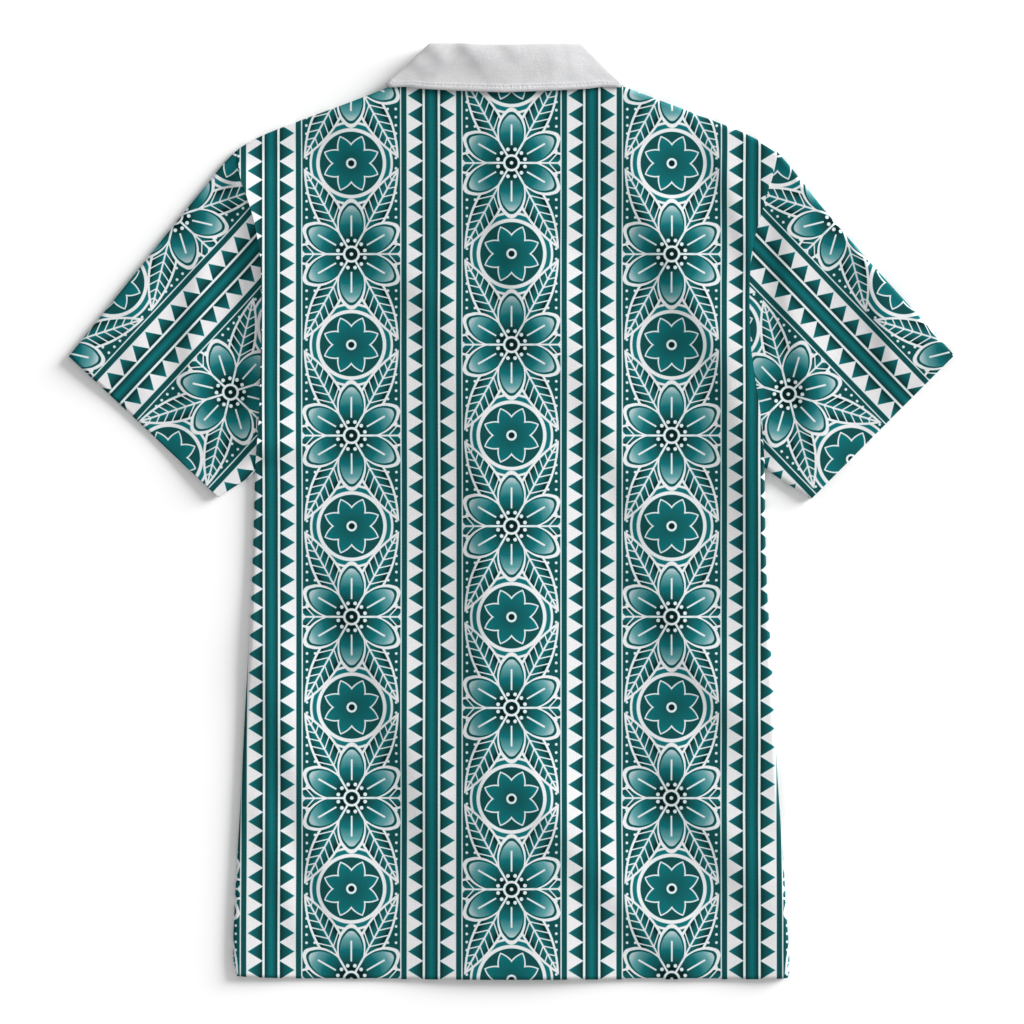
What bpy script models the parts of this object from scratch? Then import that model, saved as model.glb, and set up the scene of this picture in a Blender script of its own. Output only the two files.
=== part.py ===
"""Short-sleeved shirt with an all-over print and a plain collar, lying flat and face down.

Sizes are in millimetres and meshes in metres. +Z is up and the collar lies towards +Y. Plan tables
measure from the hem's middle, and the whole is centred on its own bounding box at the end.
Left and right are the wearer's, so the left side lies towards -X.
"""

import math

import bmesh
import bpy
import numpy as np

NAME = "hawaiian_shirt"
METRES = 0.001

# Cloth and seams
WALL = 1.2
COLLAR_WALL = 1.4
SEAM_GAP = 0.3
LAYER_GAP = 0.3

# Heights of the outer faces above the floor
BACK_TOP = 2 * WALL + LAYER_GAP
FRONT_LIFT = 2.8
LAP_STEP = WALL + LAYER_GAP
NECK_BACK_LIFT = 5.0

# Folded edges: where back and front meet, how far the cloth curls, and the bead along the fold
FOLD_MIDDLE = 2.9
FOLD_STEP = 0.5
CURL = 3.6
BEAD_HEIGHT = 2.9
BEAD_REACH = 75.0
RIM_REACH = 2.0
ARMHOLE_INSET = 0.4
FOLD_SAMPLES = 400
ARMHOLE_SAMPLES = 40

# Neck
NECK_X = -6.5
NECK_HALF_WIDTH = 80.0
NECK_POINT_HEIGHT = 776.2
BACK_NECK_DROP = 8.7
FRONT_NECK_DROP = 76.2
NECK_SPREAD = 45.0
NECK_BACK_SPREAD = 85.0
NECK_PARTING = 0.8
PARTING_REACH = 14.0

# Front opening
LAP_HALF_WIDTH = 16.0
FRONT_LAP_FALL = 44.0
BACK_LAP_FALL = 105.0
LAP_TOP = 705.0
LAP_TOP_FALL = 57.0
LEFT_LAP_MARGIN = 1.0
RIGHT_LAP_MARGIN = 2.0

# Armhole ridge on the upper face: height, and how far it falls away on each side
RIDGE_HEIGHT = 2.4
RIDGE_ON_BODY = 34.0
RIDGE_ON_SLEEVE = 9.0
RIDGE_FROM_UNDERARM = 50.0
RIDGE_FROM_TIP = 60.0
RIDGE_FROM_FOLD = 20.0

# Body sides and armholes. Columns: height above the hem, x.
SIDE_EDGES = {
    "left": (
        (3.2, -236.6),
        (9.0, -238.6),
        (26.0, -239.6),
        (51.0, -238.8),
        (104.0, -236.1),
        (148.0, -233.5),
        (240.0, -228.8),
        (309.0, -224.9),
        (380.0, -222.2),
        (437.3, -220.6),
        (465.0, -218.2),
        (498.0, -216.3),
        (585.0, -214.6),
        (616.0, -215.6),
        (651.5, -221.2),
        (673.4, -227.6),
        (690.0, -233.2),
        (713.5, -236.4),
    ),
    "right": (
        (1.4, 237.6),
        (8.0, 239.2),
        (26.0, 238.7),
        (51.0, 236.9),
        (109.0, 233.5),
        (179.0, 228.6),
        (240.0, 225.8),
        (361.0, 219.0),
        (441.0, 217.6),
        (465.0, 215.8),
        (491.5, 213.2),
        (520.0, 209.0),
        (545.7, 205.8),
        (585.0, 204.6),
        (616.0, 205.6),
        (631.7, 207.7),
        (651.5, 212.9),
        (675.5, 219.7),
        (691.8, 224.9),
        (711.6, 229.0),
    ),
}
UNDERARM_HEIGHTS = {"left": 437.3, "right": 441.0}

# Hem line. Columns: share of the way from left to right, height.
HEM_LINE = (
    (0.0, 3.2),
    (0.03, 2.0),
    (0.12, 0.8),
    (0.3, 0.2),
    (0.7, 0.0),
    (0.97, 0.4),
    (1.0, 1.4),
)

# Shoulder lines. Columns: x, height.
SHOULDER_LINES = {
    "left": (
        (-236.4, 713.5),
        (-227.0, 719.6),
        (-214.6, 726.0),
        (-196.0, 733.6),
        (-107.9, 766.7),
        (-86.5, 776.2),
    ),
    "right": (
        (73.5, 776.2),
        (94.4, 768.6),
        (181.0, 736.0),
        (196.5, 729.7),
        (210.0, 723.4),
        (220.6, 717.2),
        (229.0, 711.6),
    ),
}

# Sleeve folds from the body to the cuff. Columns: x, height.
SLEEVE_TOP_FOLDS = {
    "left": ((-236.4, 713.5), (-246.5, 703.4), (-258.0, 689.4), (-381.0, 536.2)),
    "right": ((229.0, 711.6), (239.0, 700.4), (250.0, 686.6), (268.8, 662.6), (381.0, 537.1)),
}
SLEEVE_UNDER_FOLDS = {
    "left": ((-220.6, 437.3), (-226.0, 432.2), (-234.4, 426.4), (-252.4, 415.0)),
    "right": ((217.6, 441.0), (224.0, 435.6), (241.2, 424.0), (257.6, 413.2)),
}

# Grid rows along a side, in shares: hem to underarm, then underarm to shoulder tip.
ROWS_BELOW_ARM = (0, 0.01, 0.03, 0.08, 0.16, 0.26, 0.37, 0.48, 0.6, 0.72, 0.83, 0.93)
ROWS_AT_ARMHOLE = (0, 0.0016, 0.0058, 0.014, 0.05, 0.12, 0.21, 0.31, 0.42, 0.53, 0.64, 0.74)
ROWS_AT_TIP = (0.82, 0.885, 0.93)
ROWS_UNDER_SHOULDER = (12.0, 4.0, 1.7, 0.5)
UNDERARM_SHARE = 0.6
ABOVE_UNDERARM = 0.65
SIDE_PULL = 3
BODY_HEIGHT = 740.0
ROW_BLEND = 60.0

# Grid columns, in millimetres in from a folded side, and angles round the front neckline
SIDE_INSETS = (0.45, 1.6, 3.7, 12.0, 30.0, 58.0, 90.0, 121.0)
EVEN_AFTER = 4
NECK_ANGLES = (0, 14, 25, 36, 47, 58, 69, 80)
BACK_NECK_SHARES = (0.025, 0.1, 0.22, 0.36, 0.5, 0.64, 0.78, 0.9, 0.975)

# Sleeve rings, in shares from armhole to cuff
SLEEVE_RINGS = (0, 0.035, 0.09, 0.18, 0.29, 0.41, 0.53, 0.65, 0.77, 0.88, 0.96, 1)

# Collar stack, by distance above and below its middle height
COLLAR_MIDDLE = 5.2
STAND_OFFSET = 1.9
FALL_OFFSET = 4.5
BACK_EDGE_OFFSET = 3.8
ROLL_STEPS = 4
TURN_ANGLES = (0, 30, 60, 90, 120, 150, 180)
STAND_SHARES = (0, 0.35, 0.7)
FALL_SHARES = (0.2, 0.45, 0.7, 0.9, 1)
STAND_GAP = 0.6

# The collar's turn at each side, from the neck's middle. Columns: x, height.
TURN_NECK = (78.0, 777.0)
TURN_ROLL = {"left": (60.8, 800.4), "right": (64.6, 800.4)}
TURN_ROLL_RISE = 2.8
TURN_EDGE = (97.4, 766.8)

# Back collar. Columns: share from the middle to the turn, height.
BACK_ROLL_LINE = ((0, 801.7), (0.35, 802.5), (0.7, 803.2), (0.88, 803.3), (1, 803.2))
BACK_EDGE_LINE = ((0, 762.4), (0.38, 763.8), (0.56, 764.7), (0.72, 765.6), (0.86, 767.3), (1, 766.8))
BACK_COLLAR_SHARES = (-0.9, -0.74, -0.5, -0.25, 0, 0.25, 0.5, 0.74, 0.9)

# Front collar. Columns: share of the way to the front end, x from the neck's middle, height.
FRONT_ROLL_LINE = ((0.25, 56.5, 782.0), (0.5, 45.0, 762.0), (0.75, 28.0, 745.0), (1, 4.5, 731.0))
FRONT_EDGE_LINE = ((0.25, 95.5, 744.0), (0.5, 88.5, 721.0), (0.75, 75.0, 697.0), (1, 52.0, 671.0))
FRONT_COLLAR_SHARES = (0.13, 0.27, 0.42, 0.57, 0.72, 0.87, 1)
FRONT_END_ANGLE = 87.0

# Where the collar lies under the fronts. Columns: x from the neck's middle, height.
COLLAR_PATCH = (
    (-66.0, 806.0),
    (-103.0, 769.0),
    (-98.0, 743.0),
    (-91.0, 719.0),
    (-77.0, 694.0),
    (-53.0, 667.0),
    (53.0, 667.0),
    (77.0, 694.0),
    (91.0, 719.0),
    (98.0, 743.0),
    (103.0, 769.0),
    (70.0, 806.0),
)

# Buttons
BUTTON_HEIGHTS = (674.0, 574.0, 474.0, 374.0, 274.0, 174.0)
BUTTON_WIDTH = 11.5
BUTTON_BOTTOM = 0.4
BUTTON_THICKNESS = 2.0
BUTTON_RIM_WIDTH = 1.4
BUTTON_DISH = 0.45
BUTTON_BEVEL = 0.4
BUTTON_HOLE_WIDTH = 1.5
BUTTON_HOLE_SPREAD = 1.55
BUTTON_SIDES = 16
HOLE_SIDES = 6
HOLE_OVERRUN = 1.0
SAME_POINT = 0.000001

# Materials. Columns: colour, roughness, metallic.
CLOTH_TEAL = ((0.02, 0.17, 0.18, 1.0), 0.8, 0.0)
CLOTH_WHITE = ((0.72, 0.72, 0.72, 1.0), 0.8, 0.0)
BUTTON_SHELL = ((0.62, 0.66, 0.64, 1.0), 0.35, 0.0)


def smooth(share):
    share = np.clip(share, 0.0, 1.0)
    return share * share * (3.0 - 2.0 * share)


def curve(table, at):
    """Values of a two-column table at these keys, smooth and with no overshoot."""
    keys = np.array([row[0] for row in table], float)
    values = np.array([row[1] for row in table], float)
    step = np.diff(keys)
    slope = np.diff(values) / step
    before, after = slope[:-1], slope[1:]
    same_way = before * after > 0
    total = np.where(same_way, before + after, 1.0)
    inner = np.where(same_way, 2.0 * before * after / total, 0.0)
    tangent = np.concatenate([slope[:1], inner, slope[-1:]])
    at = np.clip(np.asarray(at, float), keys[0], keys[-1])
    place = np.clip(np.searchsorted(keys, at) - 1, 0, len(step) - 1)
    width = step[place]
    t = (at - keys[place]) / width
    rise = values[place + 1] - values[place]
    start = tangent[place] * width
    end = tangent[place + 1] * width
    return values[place] + t * start + t * t * (3 * rise - 2 * start - end) + t**3 * (start + end - 2 * rise)


def along(points, shares):
    """Plan points at these shares of a line's length."""
    points = np.array(points, float)
    steps = np.hypot(*np.diff(points, axis=0).T)
    reach = np.concatenate([[0.0], np.cumsum(steps)]) / steps.sum()
    columns = [curve(np.stack([reach, column], axis=1), shares) for column in points.T]
    return np.stack(columns, axis=-1)


def away(points, line):
    """Distance of plan points from a line of plan points."""
    start, end = line[:-1], line[1:]
    run = end - start
    length = np.maximum((run**2).sum(axis=1), 1e-9)
    offset = points[..., None, :] - start
    share = np.clip((offset * run).sum(axis=-1) / length, 0.0, 1.0)
    gap = offset - share[..., None] * run
    return np.sqrt((gap**2).sum(axis=-1).min(axis=-1))


def side_heights(side, shares):
    table = SIDE_EDGES[side]
    stops = (0.0, UNDERARM_SHARE, 1.0)
    return np.interp(shares, stops, (table[0][0], UNDERARM_HEIGHTS[side], table[-1][0]))


def side_line(side, shares):
    """Plan points on a side: from the hem to the underarm, then up the armhole to the tip."""
    heights = side_heights(side, shares)
    return np.stack([curve(SIDE_EDGES[side], heights), heights], axis=-1)


def fold_lines():
    """The four folded edges: each side with its sleeve, under the arm and over the shoulder."""
    lines = []
    for side in ("left", "right"):
        body = side_line(side, np.linspace(0.0, UNDERARM_SHARE, FOLD_SAMPLES))
        under = along(SLEEVE_UNDER_FOLDS[side], np.linspace(0.0, 1.0, FOLD_SAMPLES))
        lines.append(np.concatenate([body, under]))
        over = along(SLEEVE_TOP_FOLDS[side], np.linspace(1.0, 0.0, FOLD_SAMPLES))
        shoulder = SHOULDER_LINES[side]
        across = np.linspace(shoulder[0][0], shoulder[-1][0], FOLD_SAMPLES)
        seam = np.stack([across, curve(shoulder, across)], axis=-1)
        lines.append(np.concatenate([over, seam if side == "left" else seam[::-1]]))
    return lines


FOLDS = fold_lines()
ARMHOLES = {side: side_line(side, np.linspace(UNDERARM_SHARE, 1.0, ARMHOLE_SAMPLES)) for side in SIDE_EDGES}


def fold_distance(plan):
    return np.min([away(plan, line) for line in FOLDS], axis=0)


def near_neck(plan, spread):
    """1 over the collar, falling to 0 this far outside it."""
    patch = np.array(COLLAR_PATCH) + (NECK_X, 0.0)
    loop = np.concatenate([patch, patch[:1]])
    run = np.diff(loop, axis=0)
    offset = plan[..., None, :] - patch
    inside = (run[:, 0] * offset[..., 1] - run[:, 1] * offset[..., 0] >= 0).all(axis=-1)
    outside = np.where(inside, 0.0, away(plan, loop))
    return 1.0 - smooth(outside / spread)


def from_opening(plan):
    """Signed distance from the line down the middle of the front."""
    lowest = NECK_POINT_HEIGHT - FRONT_NECK_DROP
    return plan[..., 0] - NECK_X * plan[..., 1] / lowest


def fold_middle(plan):
    neck = near_neck(plan, NECK_SPREAD)
    return FOLD_MIDDLE + (COLLAR_MIDDLE - FOLD_MIDDLE) * neck


def curled(distance):
    return np.sqrt(1.0 - (1.0 - np.clip(distance / CURL, 0.0, 1.0)) ** 2)


def parting(plan):
    """How much further back and front stand apart beside the two neck points."""
    points = [(NECK_X + side * NECK_HALF_WIDTH, NECK_POINT_HEIGHT) for side in (-1, 1)]
    gap = np.min([np.linalg.norm(plan - point, axis=-1) for point in points], axis=0)
    return NECK_PARTING * (1.0 - smooth(gap / PARTING_REACH))


def armhole_ridge(plan):
    """The soft ridge along each armhole, steep on the sleeve and gentle on the body."""
    height = np.zeros(plan.shape[:-1])
    for side, line in ARMHOLES.items():
        sign = -1.0 if side == "left" else 1.0
        gap = away(plan, line)
        edge = curve(SIDE_EDGES[side], plan[..., 1])
        on_sleeve = sign * (plan[..., 0] - edge) > 0
        reach = np.where(on_sleeve, RIDGE_ON_SLEEVE, RIDGE_ON_BODY)
        low, high = UNDERARM_HEIGHTS[side], SIDE_EDGES[side][-1][0]
        middle = smooth((plan[..., 1] - low) / RIDGE_FROM_UNDERARM)
        middle *= smooth((high - plan[..., 1]) / RIDGE_FROM_TIP)
        height += RIDGE_HEIGHT * middle * np.exp(-((gap / reach) ** 2))
    return height


def upper_face(plan):
    """Height of the outer face of what lies on top: the back and the sleeves' upper halves."""
    distance = fold_distance(plan)
    neck = near_neck(plan, NECK_SPREAD)
    wide_neck = near_neck(plan, NECK_BACK_SPREAD)
    beside = np.abs(from_opening(plan)) - LAP_HALF_WIDTH
    lap = 1.0 - smooth(beside / BACK_LAP_FALL)
    lap *= 1.0 - smooth((plan[..., 1] - LAP_TOP) / LAP_TOP_FALL)
    lift = np.maximum(NECK_BACK_LIFT * wide_neck, (FRONT_LIFT + LAP_STEP) * lap)
    bead = BEAD_HEIGHT * (1.0 - neck) * (1.0 - smooth(distance / BEAD_REACH))
    ridge = armhole_ridge(plan) * smooth(distance / RIDGE_FROM_FOLD)
    top = BACK_TOP + lift + bead + ridge
    foot = fold_middle(plan) + FOLD_STEP + parting(plan)
    return foot + (top - foot) * curled(distance)


def lower_face(plan):
    """Height of the outer face of what lies underneath: the fronts and the sleeves' lower halves."""
    beside = np.abs(from_opening(plan)) - LAP_HALF_WIDTH - LEFT_LAP_MARGIN
    lap = 1.0 - smooth(beside / FRONT_LAP_FALL)
    bottom = FRONT_LIFT * np.maximum(near_neck(plan, NECK_SPREAD), lap)
    foot = fold_middle(plan) - FOLD_STEP - parting(plan)
    return foot + (bottom - foot) * curled(fold_distance(plan))


def rim_share(plan):
    """1 on a folded edge, 0 on an armhole, neckline or hem away from the folds."""
    return 1.0 - smooth(fold_distance(plan) / RIM_REACH)


def hem_line(left_corner, right_corner, x):
    share = (x - left_corner) / (right_corner - left_corner)
    return curve(HEM_LINE, share)


def back_neckline(x):
    share = np.clip((x - NECK_X) / NECK_HALF_WIDTH, -1.0, 1.0)
    return NECK_POINT_HEIGHT - BACK_NECK_DROP * (1.0 - share**2)


def row_shares():
    """Row positions beside a folded side, and further in, as shares from hem to top."""
    below = UNDERARM_SHARE * np.array(ROWS_BELOW_ARM)
    above = UNDERARM_SHARE + (1 - UNDERARM_SHARE) * np.array(ROWS_AT_ARMHOLE + ROWS_AT_TIP)
    top = 1.0 - np.array(ROWS_UNDER_SHOULDER + (0.0, 0.0)) / BODY_HEIGHT
    side = np.concatenate([below, above, top])
    count = len(below) + len(above)
    even = np.linspace(0.0, 1.0 - 2 * ROWS_UNDER_SHOULDER[0] / BODY_HEIGHT, count)
    middle = np.concatenate([even, top])
    return side, middle


def patch(hem, top, left, right, across, up):
    """Plan points ruled from hem to top, pulled to the left and right lines near them."""
    u, v = across[..., None], up[..., None]
    ruled = (1 - v) * hem(across) + v * top(across)
    from_left = left(up) - (1 - v) * left(0.0) - v * left(1.0)
    from_right = right(up) - (1 - v) * right(0.0) - v * right(1.0)
    return ruled + (1 - u) ** SIDE_PULL * from_left + u**SIDE_PULL * from_right


def body_plan(hem, top, left, right, columns, folded):
    """Plan grid of a body panel, and how far each point drops from its face to meet its seam.

    folded says which of its left and right sides are folds.
    """
    side, middle = row_shares()
    across = np.tile(np.array(columns), (len(side), 1))
    width = float(np.linalg.norm(hem(1.0) - hem(0.0)))
    inset = np.full(across.shape, np.inf)
    if folded[0]:
        inset = np.minimum(inset, across * width)
    if folded[1]:
        inset = np.minimum(inset, (1.0 - across) * width)
    blend = smooth((inset - CURL) / ROW_BLEND)
    up = side[:, None] * (1.0 - blend) + middle[:, None] * blend
    up[-1], up[-2] = 1.0, 1.0
    plan = patch(hem, top, left, right, across, up)
    on_fold = rim_share(plan)
    on_side = on_fold * (up < ABOVE_UNDERARM)
    if folded[0]:
        across[:, 1] = (1.0 - on_side[:, 0]) * ARMHOLE_INSET / width
    if folded[1]:
        across[:, -2] = 1.0 - (1.0 - on_side[:, -1]) * ARMHOLE_INSET / width
    up[-2] = 1.0 - (1.0 - on_fold[-1]) * ARMHOLE_INSET / BODY_HEIGHT
    drop = np.zeros(up.shape)
    if folded[0]:
        drop[:, 0] = on_side[:, 0]
    if folded[1]:
        drop[:, -1] = on_side[:, -1]
    drop[-1] = on_fold[-1]
    return patch(hem, top, left, right, across, up), drop * (FOLD_STEP - SEAM_GAP / 2)


def grid_mesh(name, points, closed, flip):
    """A surface of quads through rows of points, in metres. closed joins each row's two ends."""
    rows, columns = points.shape[:2]
    mesh = bpy.data.meshes.new(name)
    shell = bmesh.new()
    corners = [[shell.verts.new(METRES * place) for place in row] for row in points]
    for low, high in zip(corners[:-1], corners[1:]):
        for i in range(columns if closed else columns - 1):
            j = (i + 1) % columns
            face = [low[i], low[j], high[j], high[i]]
            shell.faces.new(face[::-1] if flip else face)
    shell.to_mesh(mesh)
    shell.free()
    return mesh


def cloth(name, points, material, wall=WALL, offset=-1.0, closed=False, flip=False):
    """A named cloth wall of this thickness behind a surface of points."""
    piece = bpy.data.objects.new(name, grid_mesh(name, points, closed, flip))
    thicken = piece.modifiers.new("wall", "SOLIDIFY")
    thicken.thickness = wall * METRES
    thicken.offset = offset
    thicken.use_rim = True
    piece.data.materials.append(material)
    return piece


def surface(name, look):
    colour, roughness, metallic = look
    material = bpy.data.materials.new(name)
    material.use_nodes = True
    shader = material.node_tree.nodes["Principled BSDF"]
    shader.inputs["Base Color"].default_value = colour
    shader.inputs["Roughness"].default_value = roughness
    shader.inputs["Metallic"].default_value = metallic
    material.diffuse_color = colour
    return material


def shares_of(xs, start, end):
    return [(x - start) / (end - start) for x in xs]


def back_panel():
    """The back, over everything but the collar's fall."""
    left_tip, right_tip = SIDE_EDGES["left"][-1][1], SIDE_EDGES["right"][-1][1]
    left_corner, right_corner = SIDE_EDGES["left"][0][1], SIDE_EDGES["right"][0][1]
    neck = (NECK_X - NECK_HALF_WIDTH, NECK_X + NECK_HALF_WIDTH)

    def hem(share):
        x = left_corner + (right_corner - left_corner) * np.asarray(share, float)
        return np.stack([x, hem_line(left_corner, right_corner, x)], axis=-1)

    def top(share):
        x = left_tip + (right_tip - left_tip) * np.asarray(share, float)
        left, right = curve(SHOULDER_LINES["left"], x), curve(SHOULDER_LINES["right"], x)
        height = np.where(x < neck[0], left, np.where(x > neck[1], right, back_neckline(x)))
        return np.stack([x, height], axis=-1)

    xs = [left_tip, left_tip] + [left_tip + inset for inset in SIDE_INSETS] + [neck[0]]
    xs += [neck[0] + (neck[1] - neck[0]) * share for share in BACK_NECK_SHARES] + [neck[1]]
    xs += [right_tip - inset for inset in SIDE_INSETS[::-1]] + [right_tip, right_tip]
    columns = shares_of(xs, left_tip, right_tip)
    plan, drop = body_plan(hem, top, left_side, right_side, columns, (True, True))
    height = upper_face(plan) - drop
    points = np.concatenate([plan, height[..., None]], axis=-1)
    return cloth("back", points, surface("printed_cloth_back", CLOTH_TEAL))


def left_side(share):
    return side_line("left", share)


def right_side(share):
    return side_line("right", share)


def opening_x(height, offset):
    """x of a line beside the front's middle line, at this height."""
    lowest = NECK_POINT_HEIGHT - FRONT_NECK_DROP
    return NECK_X * height / lowest + offset


def front_neck(degrees, gap=0.0):
    """Plan points round the front neckline, from a neck point (0) down to the middle (90)."""
    angle = np.radians(degrees)
    across = (NECK_HALF_WIDTH - gap) * np.cos(angle)
    height = NECK_POINT_HEIGHT - (FRONT_NECK_DROP - gap) * np.sin(angle)
    return across, height


def front_panel(side):
    """A front, from its folded side to its edge past the middle. The left one lies under the right."""
    sign = -1.0 if side == "left" else 1.0
    corner, tip = SIDE_EDGES[side][0][1], SIDE_EDGES[side][-1][1]
    neck = NECK_X + sign * NECK_HALF_WIDTH
    lowest = NECK_POINT_HEIGHT - FRONT_NECK_DROP
    edge_offset = -sign * LAP_HALF_WIDTH
    edge = opening_x(lowest, edge_offset)
    corners = (SIDE_EDGES["left"][0][1], SIDE_EDGES["right"][0][1])

    def hem(share):
        x = corner + (edge_offset - corner) * np.asarray(share, float)
        return np.stack([x, hem_line(*corners, x)], axis=-1)

    top_xs = [tip, tip] + [tip - sign * inset for inset in SIDE_INSETS]
    top_xs += [NECK_X + sign * front_neck(angle)[0] for angle in NECK_ANGLES]
    top_xs += [opening_x(lowest, 0.0), opening_x(lowest, edge_offset / 2), edge]
    width = abs(edge_offset - corner)
    columns = [0.0, 0.0] + [inset / width for inset in SIDE_INSETS[:EVEN_AFTER]]
    columns += list(np.linspace(columns[-1], 1.0, len(top_xs) - len(columns) + 1)[1:])

    def top(share):
        x = np.interp(share, columns[1:], top_xs[1:])
        across = np.clip(sign * (x - NECK_X) / NECK_HALF_WIDTH, 0.0, 1.0)
        dip = NECK_POINT_HEIGHT - FRONT_NECK_DROP * np.sqrt(1.0 - across**2)
        height = np.where(sign * (x - neck) > 0, curve(SHOULDER_LINES[side], x), dip)
        return np.stack([x, height], axis=-1)

    def opening(share):
        height = hem(1.0)[1] + (top(1.0)[1] - hem(1.0)[1]) * np.asarray(share, float)
        return np.stack([opening_x(height, edge_offset), height], axis=-1)

    edge_side = left_side if side == "left" else right_side
    plan, drop = body_plan(hem, top, edge_side, opening, columns, (True, False))
    height = lower_face(plan) + drop
    if side == "right":
        beyond = from_opening(plan) - LAP_HALF_WIDTH - RIGHT_LAP_MARGIN
        height += LAP_STEP * (1.0 - smooth(beyond / FRONT_LAP_FALL))
    points = np.concatenate([plan, height[..., None]], axis=-1)
    material = surface("printed_cloth_front_" + side, CLOTH_TEAL)
    return cloth("front_" + side, points, material, flip=side == "left")


def sleeve(side):
    """A sleeve as a flattened tube, its rings running from the armhole to the straight cuff."""
    sign = -1.0 if side == "left" else 1.0
    rows = row_shares()[0]
    armhole = rows[(rows >= UNDERARM_SHARE) & (rows < 1.0)]
    armhole = np.concatenate([armhole, [1.0]])
    ring = (armhole - UNDERARM_SHARE) / (1.0 - UNDERARM_SHARE)
    seam = side_line(side, armhole)
    run = np.gradient(seam, axis=0)
    outward = -sign * np.stack([-run[:, 1], run[:, 0]], axis=-1)
    outward /= np.linalg.norm(outward, axis=1, keepdims=True)
    seam = seam + SEAM_GAP * outward
    under = along(SLEEVE_UNDER_FOLDS[side], np.array(SLEEVE_RINGS))
    over = along(SLEEVE_TOP_FOLDS[side], np.array(SLEEVE_RINGS))
    cuff = under[-1] + ring[:, None] * (over[-1] - under[-1])
    s, w = np.array(SLEEVE_RINGS)[:, None, None], ring[None, :, None]
    low, high = under[:, None], over[:, None]
    low = low + (1 - s) * (seam[0] - under[0])
    high = high + (1 - s) * (seam[-1] - over[0])
    straight = (1 - s) * seam[None] + s * cuff[None] + (1 - w) * low + w * high
    bend = (1 - s) * (1 - w) * seam[0] + (1 - s) * w * seam[-1]
    plan = straight - bend - s * (1 - w) * cuff[0] - s * w * cuff[-1]
    above, below = upper_face(plan), lower_face(plan)
    middle = fold_middle(plan)
    above[:, 0], above[:, -1] = middle[:, 0], middle[:, -1]
    top = np.concatenate([plan, above[..., None]], axis=-1)
    bottom = np.concatenate([plan, below[..., None]], axis=-1)
    points = np.concatenate([top, bottom[:, -2:0:-1]], axis=1)
    material = surface("printed_cloth_sleeve_" + side, CLOTH_TEAL)
    return cloth("sleeve_" + side, points, material, closed=True, flip=side == "right")


def collar_section(neck, roll, edge, edge_offset):
    """Plan points and offsets from the collar's middle height, up the stand, round and down."""
    crest = roll - (neck + edge) / 2.0
    crest /= np.linalg.norm(crest)
    radius = (FALL_OFFSET - STAND_OFFSET) / 2.0
    plan = [neck + share * (roll - neck) for share in STAND_SHARES]
    offset = [STAND_OFFSET] * len(STAND_SHARES)
    for step in range(ROLL_STEPS + 1):
        angle = math.pi * step / ROLL_STEPS
        plan.append(roll + crest * radius * math.sin(angle))
        offset.append(STAND_OFFSET + radius * (1.0 - math.cos(angle)))
    for share in FALL_SHARES:
        plan.append(roll + share * (edge - roll))
        offset.append(FALL_OFFSET + (edge_offset - FALL_OFFSET) * float(smooth(share)))
    return np.array(plan), np.array(offset)


def collar_turn(side):
    """The section where the collar turns under, and which way its fold faces."""
    sign = -1.0 if side == "left" else 1.0
    neck, roll, edge = (
        np.array((NECK_X + sign * x, height)) for x, height in (TURN_NECK, TURN_ROLL[side], TURN_EDGE)
    )
    run = roll - edge
    facing = np.array((sign * abs(run[1]), abs(run[0])))
    return neck, roll, edge, facing / np.linalg.norm(facing)


def collar_back_section(share):
    side = "left" if share < 0 else "right"
    reach = abs(share)
    x_neck = NECK_X + share * TURN_NECK[0]
    x_roll = NECK_X + share * TURN_ROLL[side][0]
    x_edge = NECK_X + share * TURN_EDGE[0]
    neck = np.array((x_neck, float(back_neckline(x_neck)) + STAND_GAP))
    roll = np.array((x_roll, float(curve(BACK_ROLL_LINE, reach))))
    edge = np.array((x_edge, float(curve(BACK_EDGE_LINE, reach))))
    plan, offset = collar_section(neck, roll, edge, BACK_EDGE_OFFSET)
    return np.concatenate([plan, (COLLAR_MIDDLE + offset)[:, None]], axis=1)


def collar_turn_sections(side):
    """Sections round the turn, from on top to underneath."""
    neck, roll, edge, facing = collar_turn(side)
    sections = []
    for degrees in TURN_ANGLES:
        angle = math.radians(degrees)
        edge_offset = BACK_EDGE_OFFSET + (FALL_OFFSET - BACK_EDGE_OFFSET) * float(smooth(degrees / 90.0))
        rise = TURN_ROLL_RISE * (1.0 - float(smooth(degrees / 90.0)))
        plan, offset = collar_section(neck, roll + (0.0, rise), edge, edge_offset)
        plan = plan + facing * (offset * math.sin(angle))[:, None]
        height = COLLAR_MIDDLE + offset * math.cos(angle)
        sections.append(np.concatenate([plan, height[:, None]], axis=1))
    return sections


def collar_front_section(side, share):
    sign = -1.0 if side == "left" else 1.0
    roll_start, edge_start = TURN_ROLL[side], TURN_EDGE
    rolls = ((0.0,) + roll_start,) + FRONT_ROLL_LINE
    edges = ((0.0,) + edge_start,) + FRONT_EDGE_LINE
    across, height = front_neck(FRONT_END_ANGLE * share, STAND_GAP)
    neck = np.array((NECK_X + sign * float(across), float(height)))
    roll_x = float(curve([row[:2] for row in rolls], share))
    roll_y = float(curve([(row[0], row[2]) for row in rolls], share))
    edge_x = float(curve([row[:2] for row in edges], share))
    edge_y = float(curve([(row[0], row[2]) for row in edges], share))
    roll = np.array((NECK_X + sign * roll_x, roll_y))
    edge = np.array((NECK_X + sign * edge_x, edge_y))
    plan, offset = collar_section(neck, roll, edge, FALL_OFFSET)
    return np.concatenate([plan, (COLLAR_MIDDLE - offset)[:, None]], axis=1)


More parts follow.
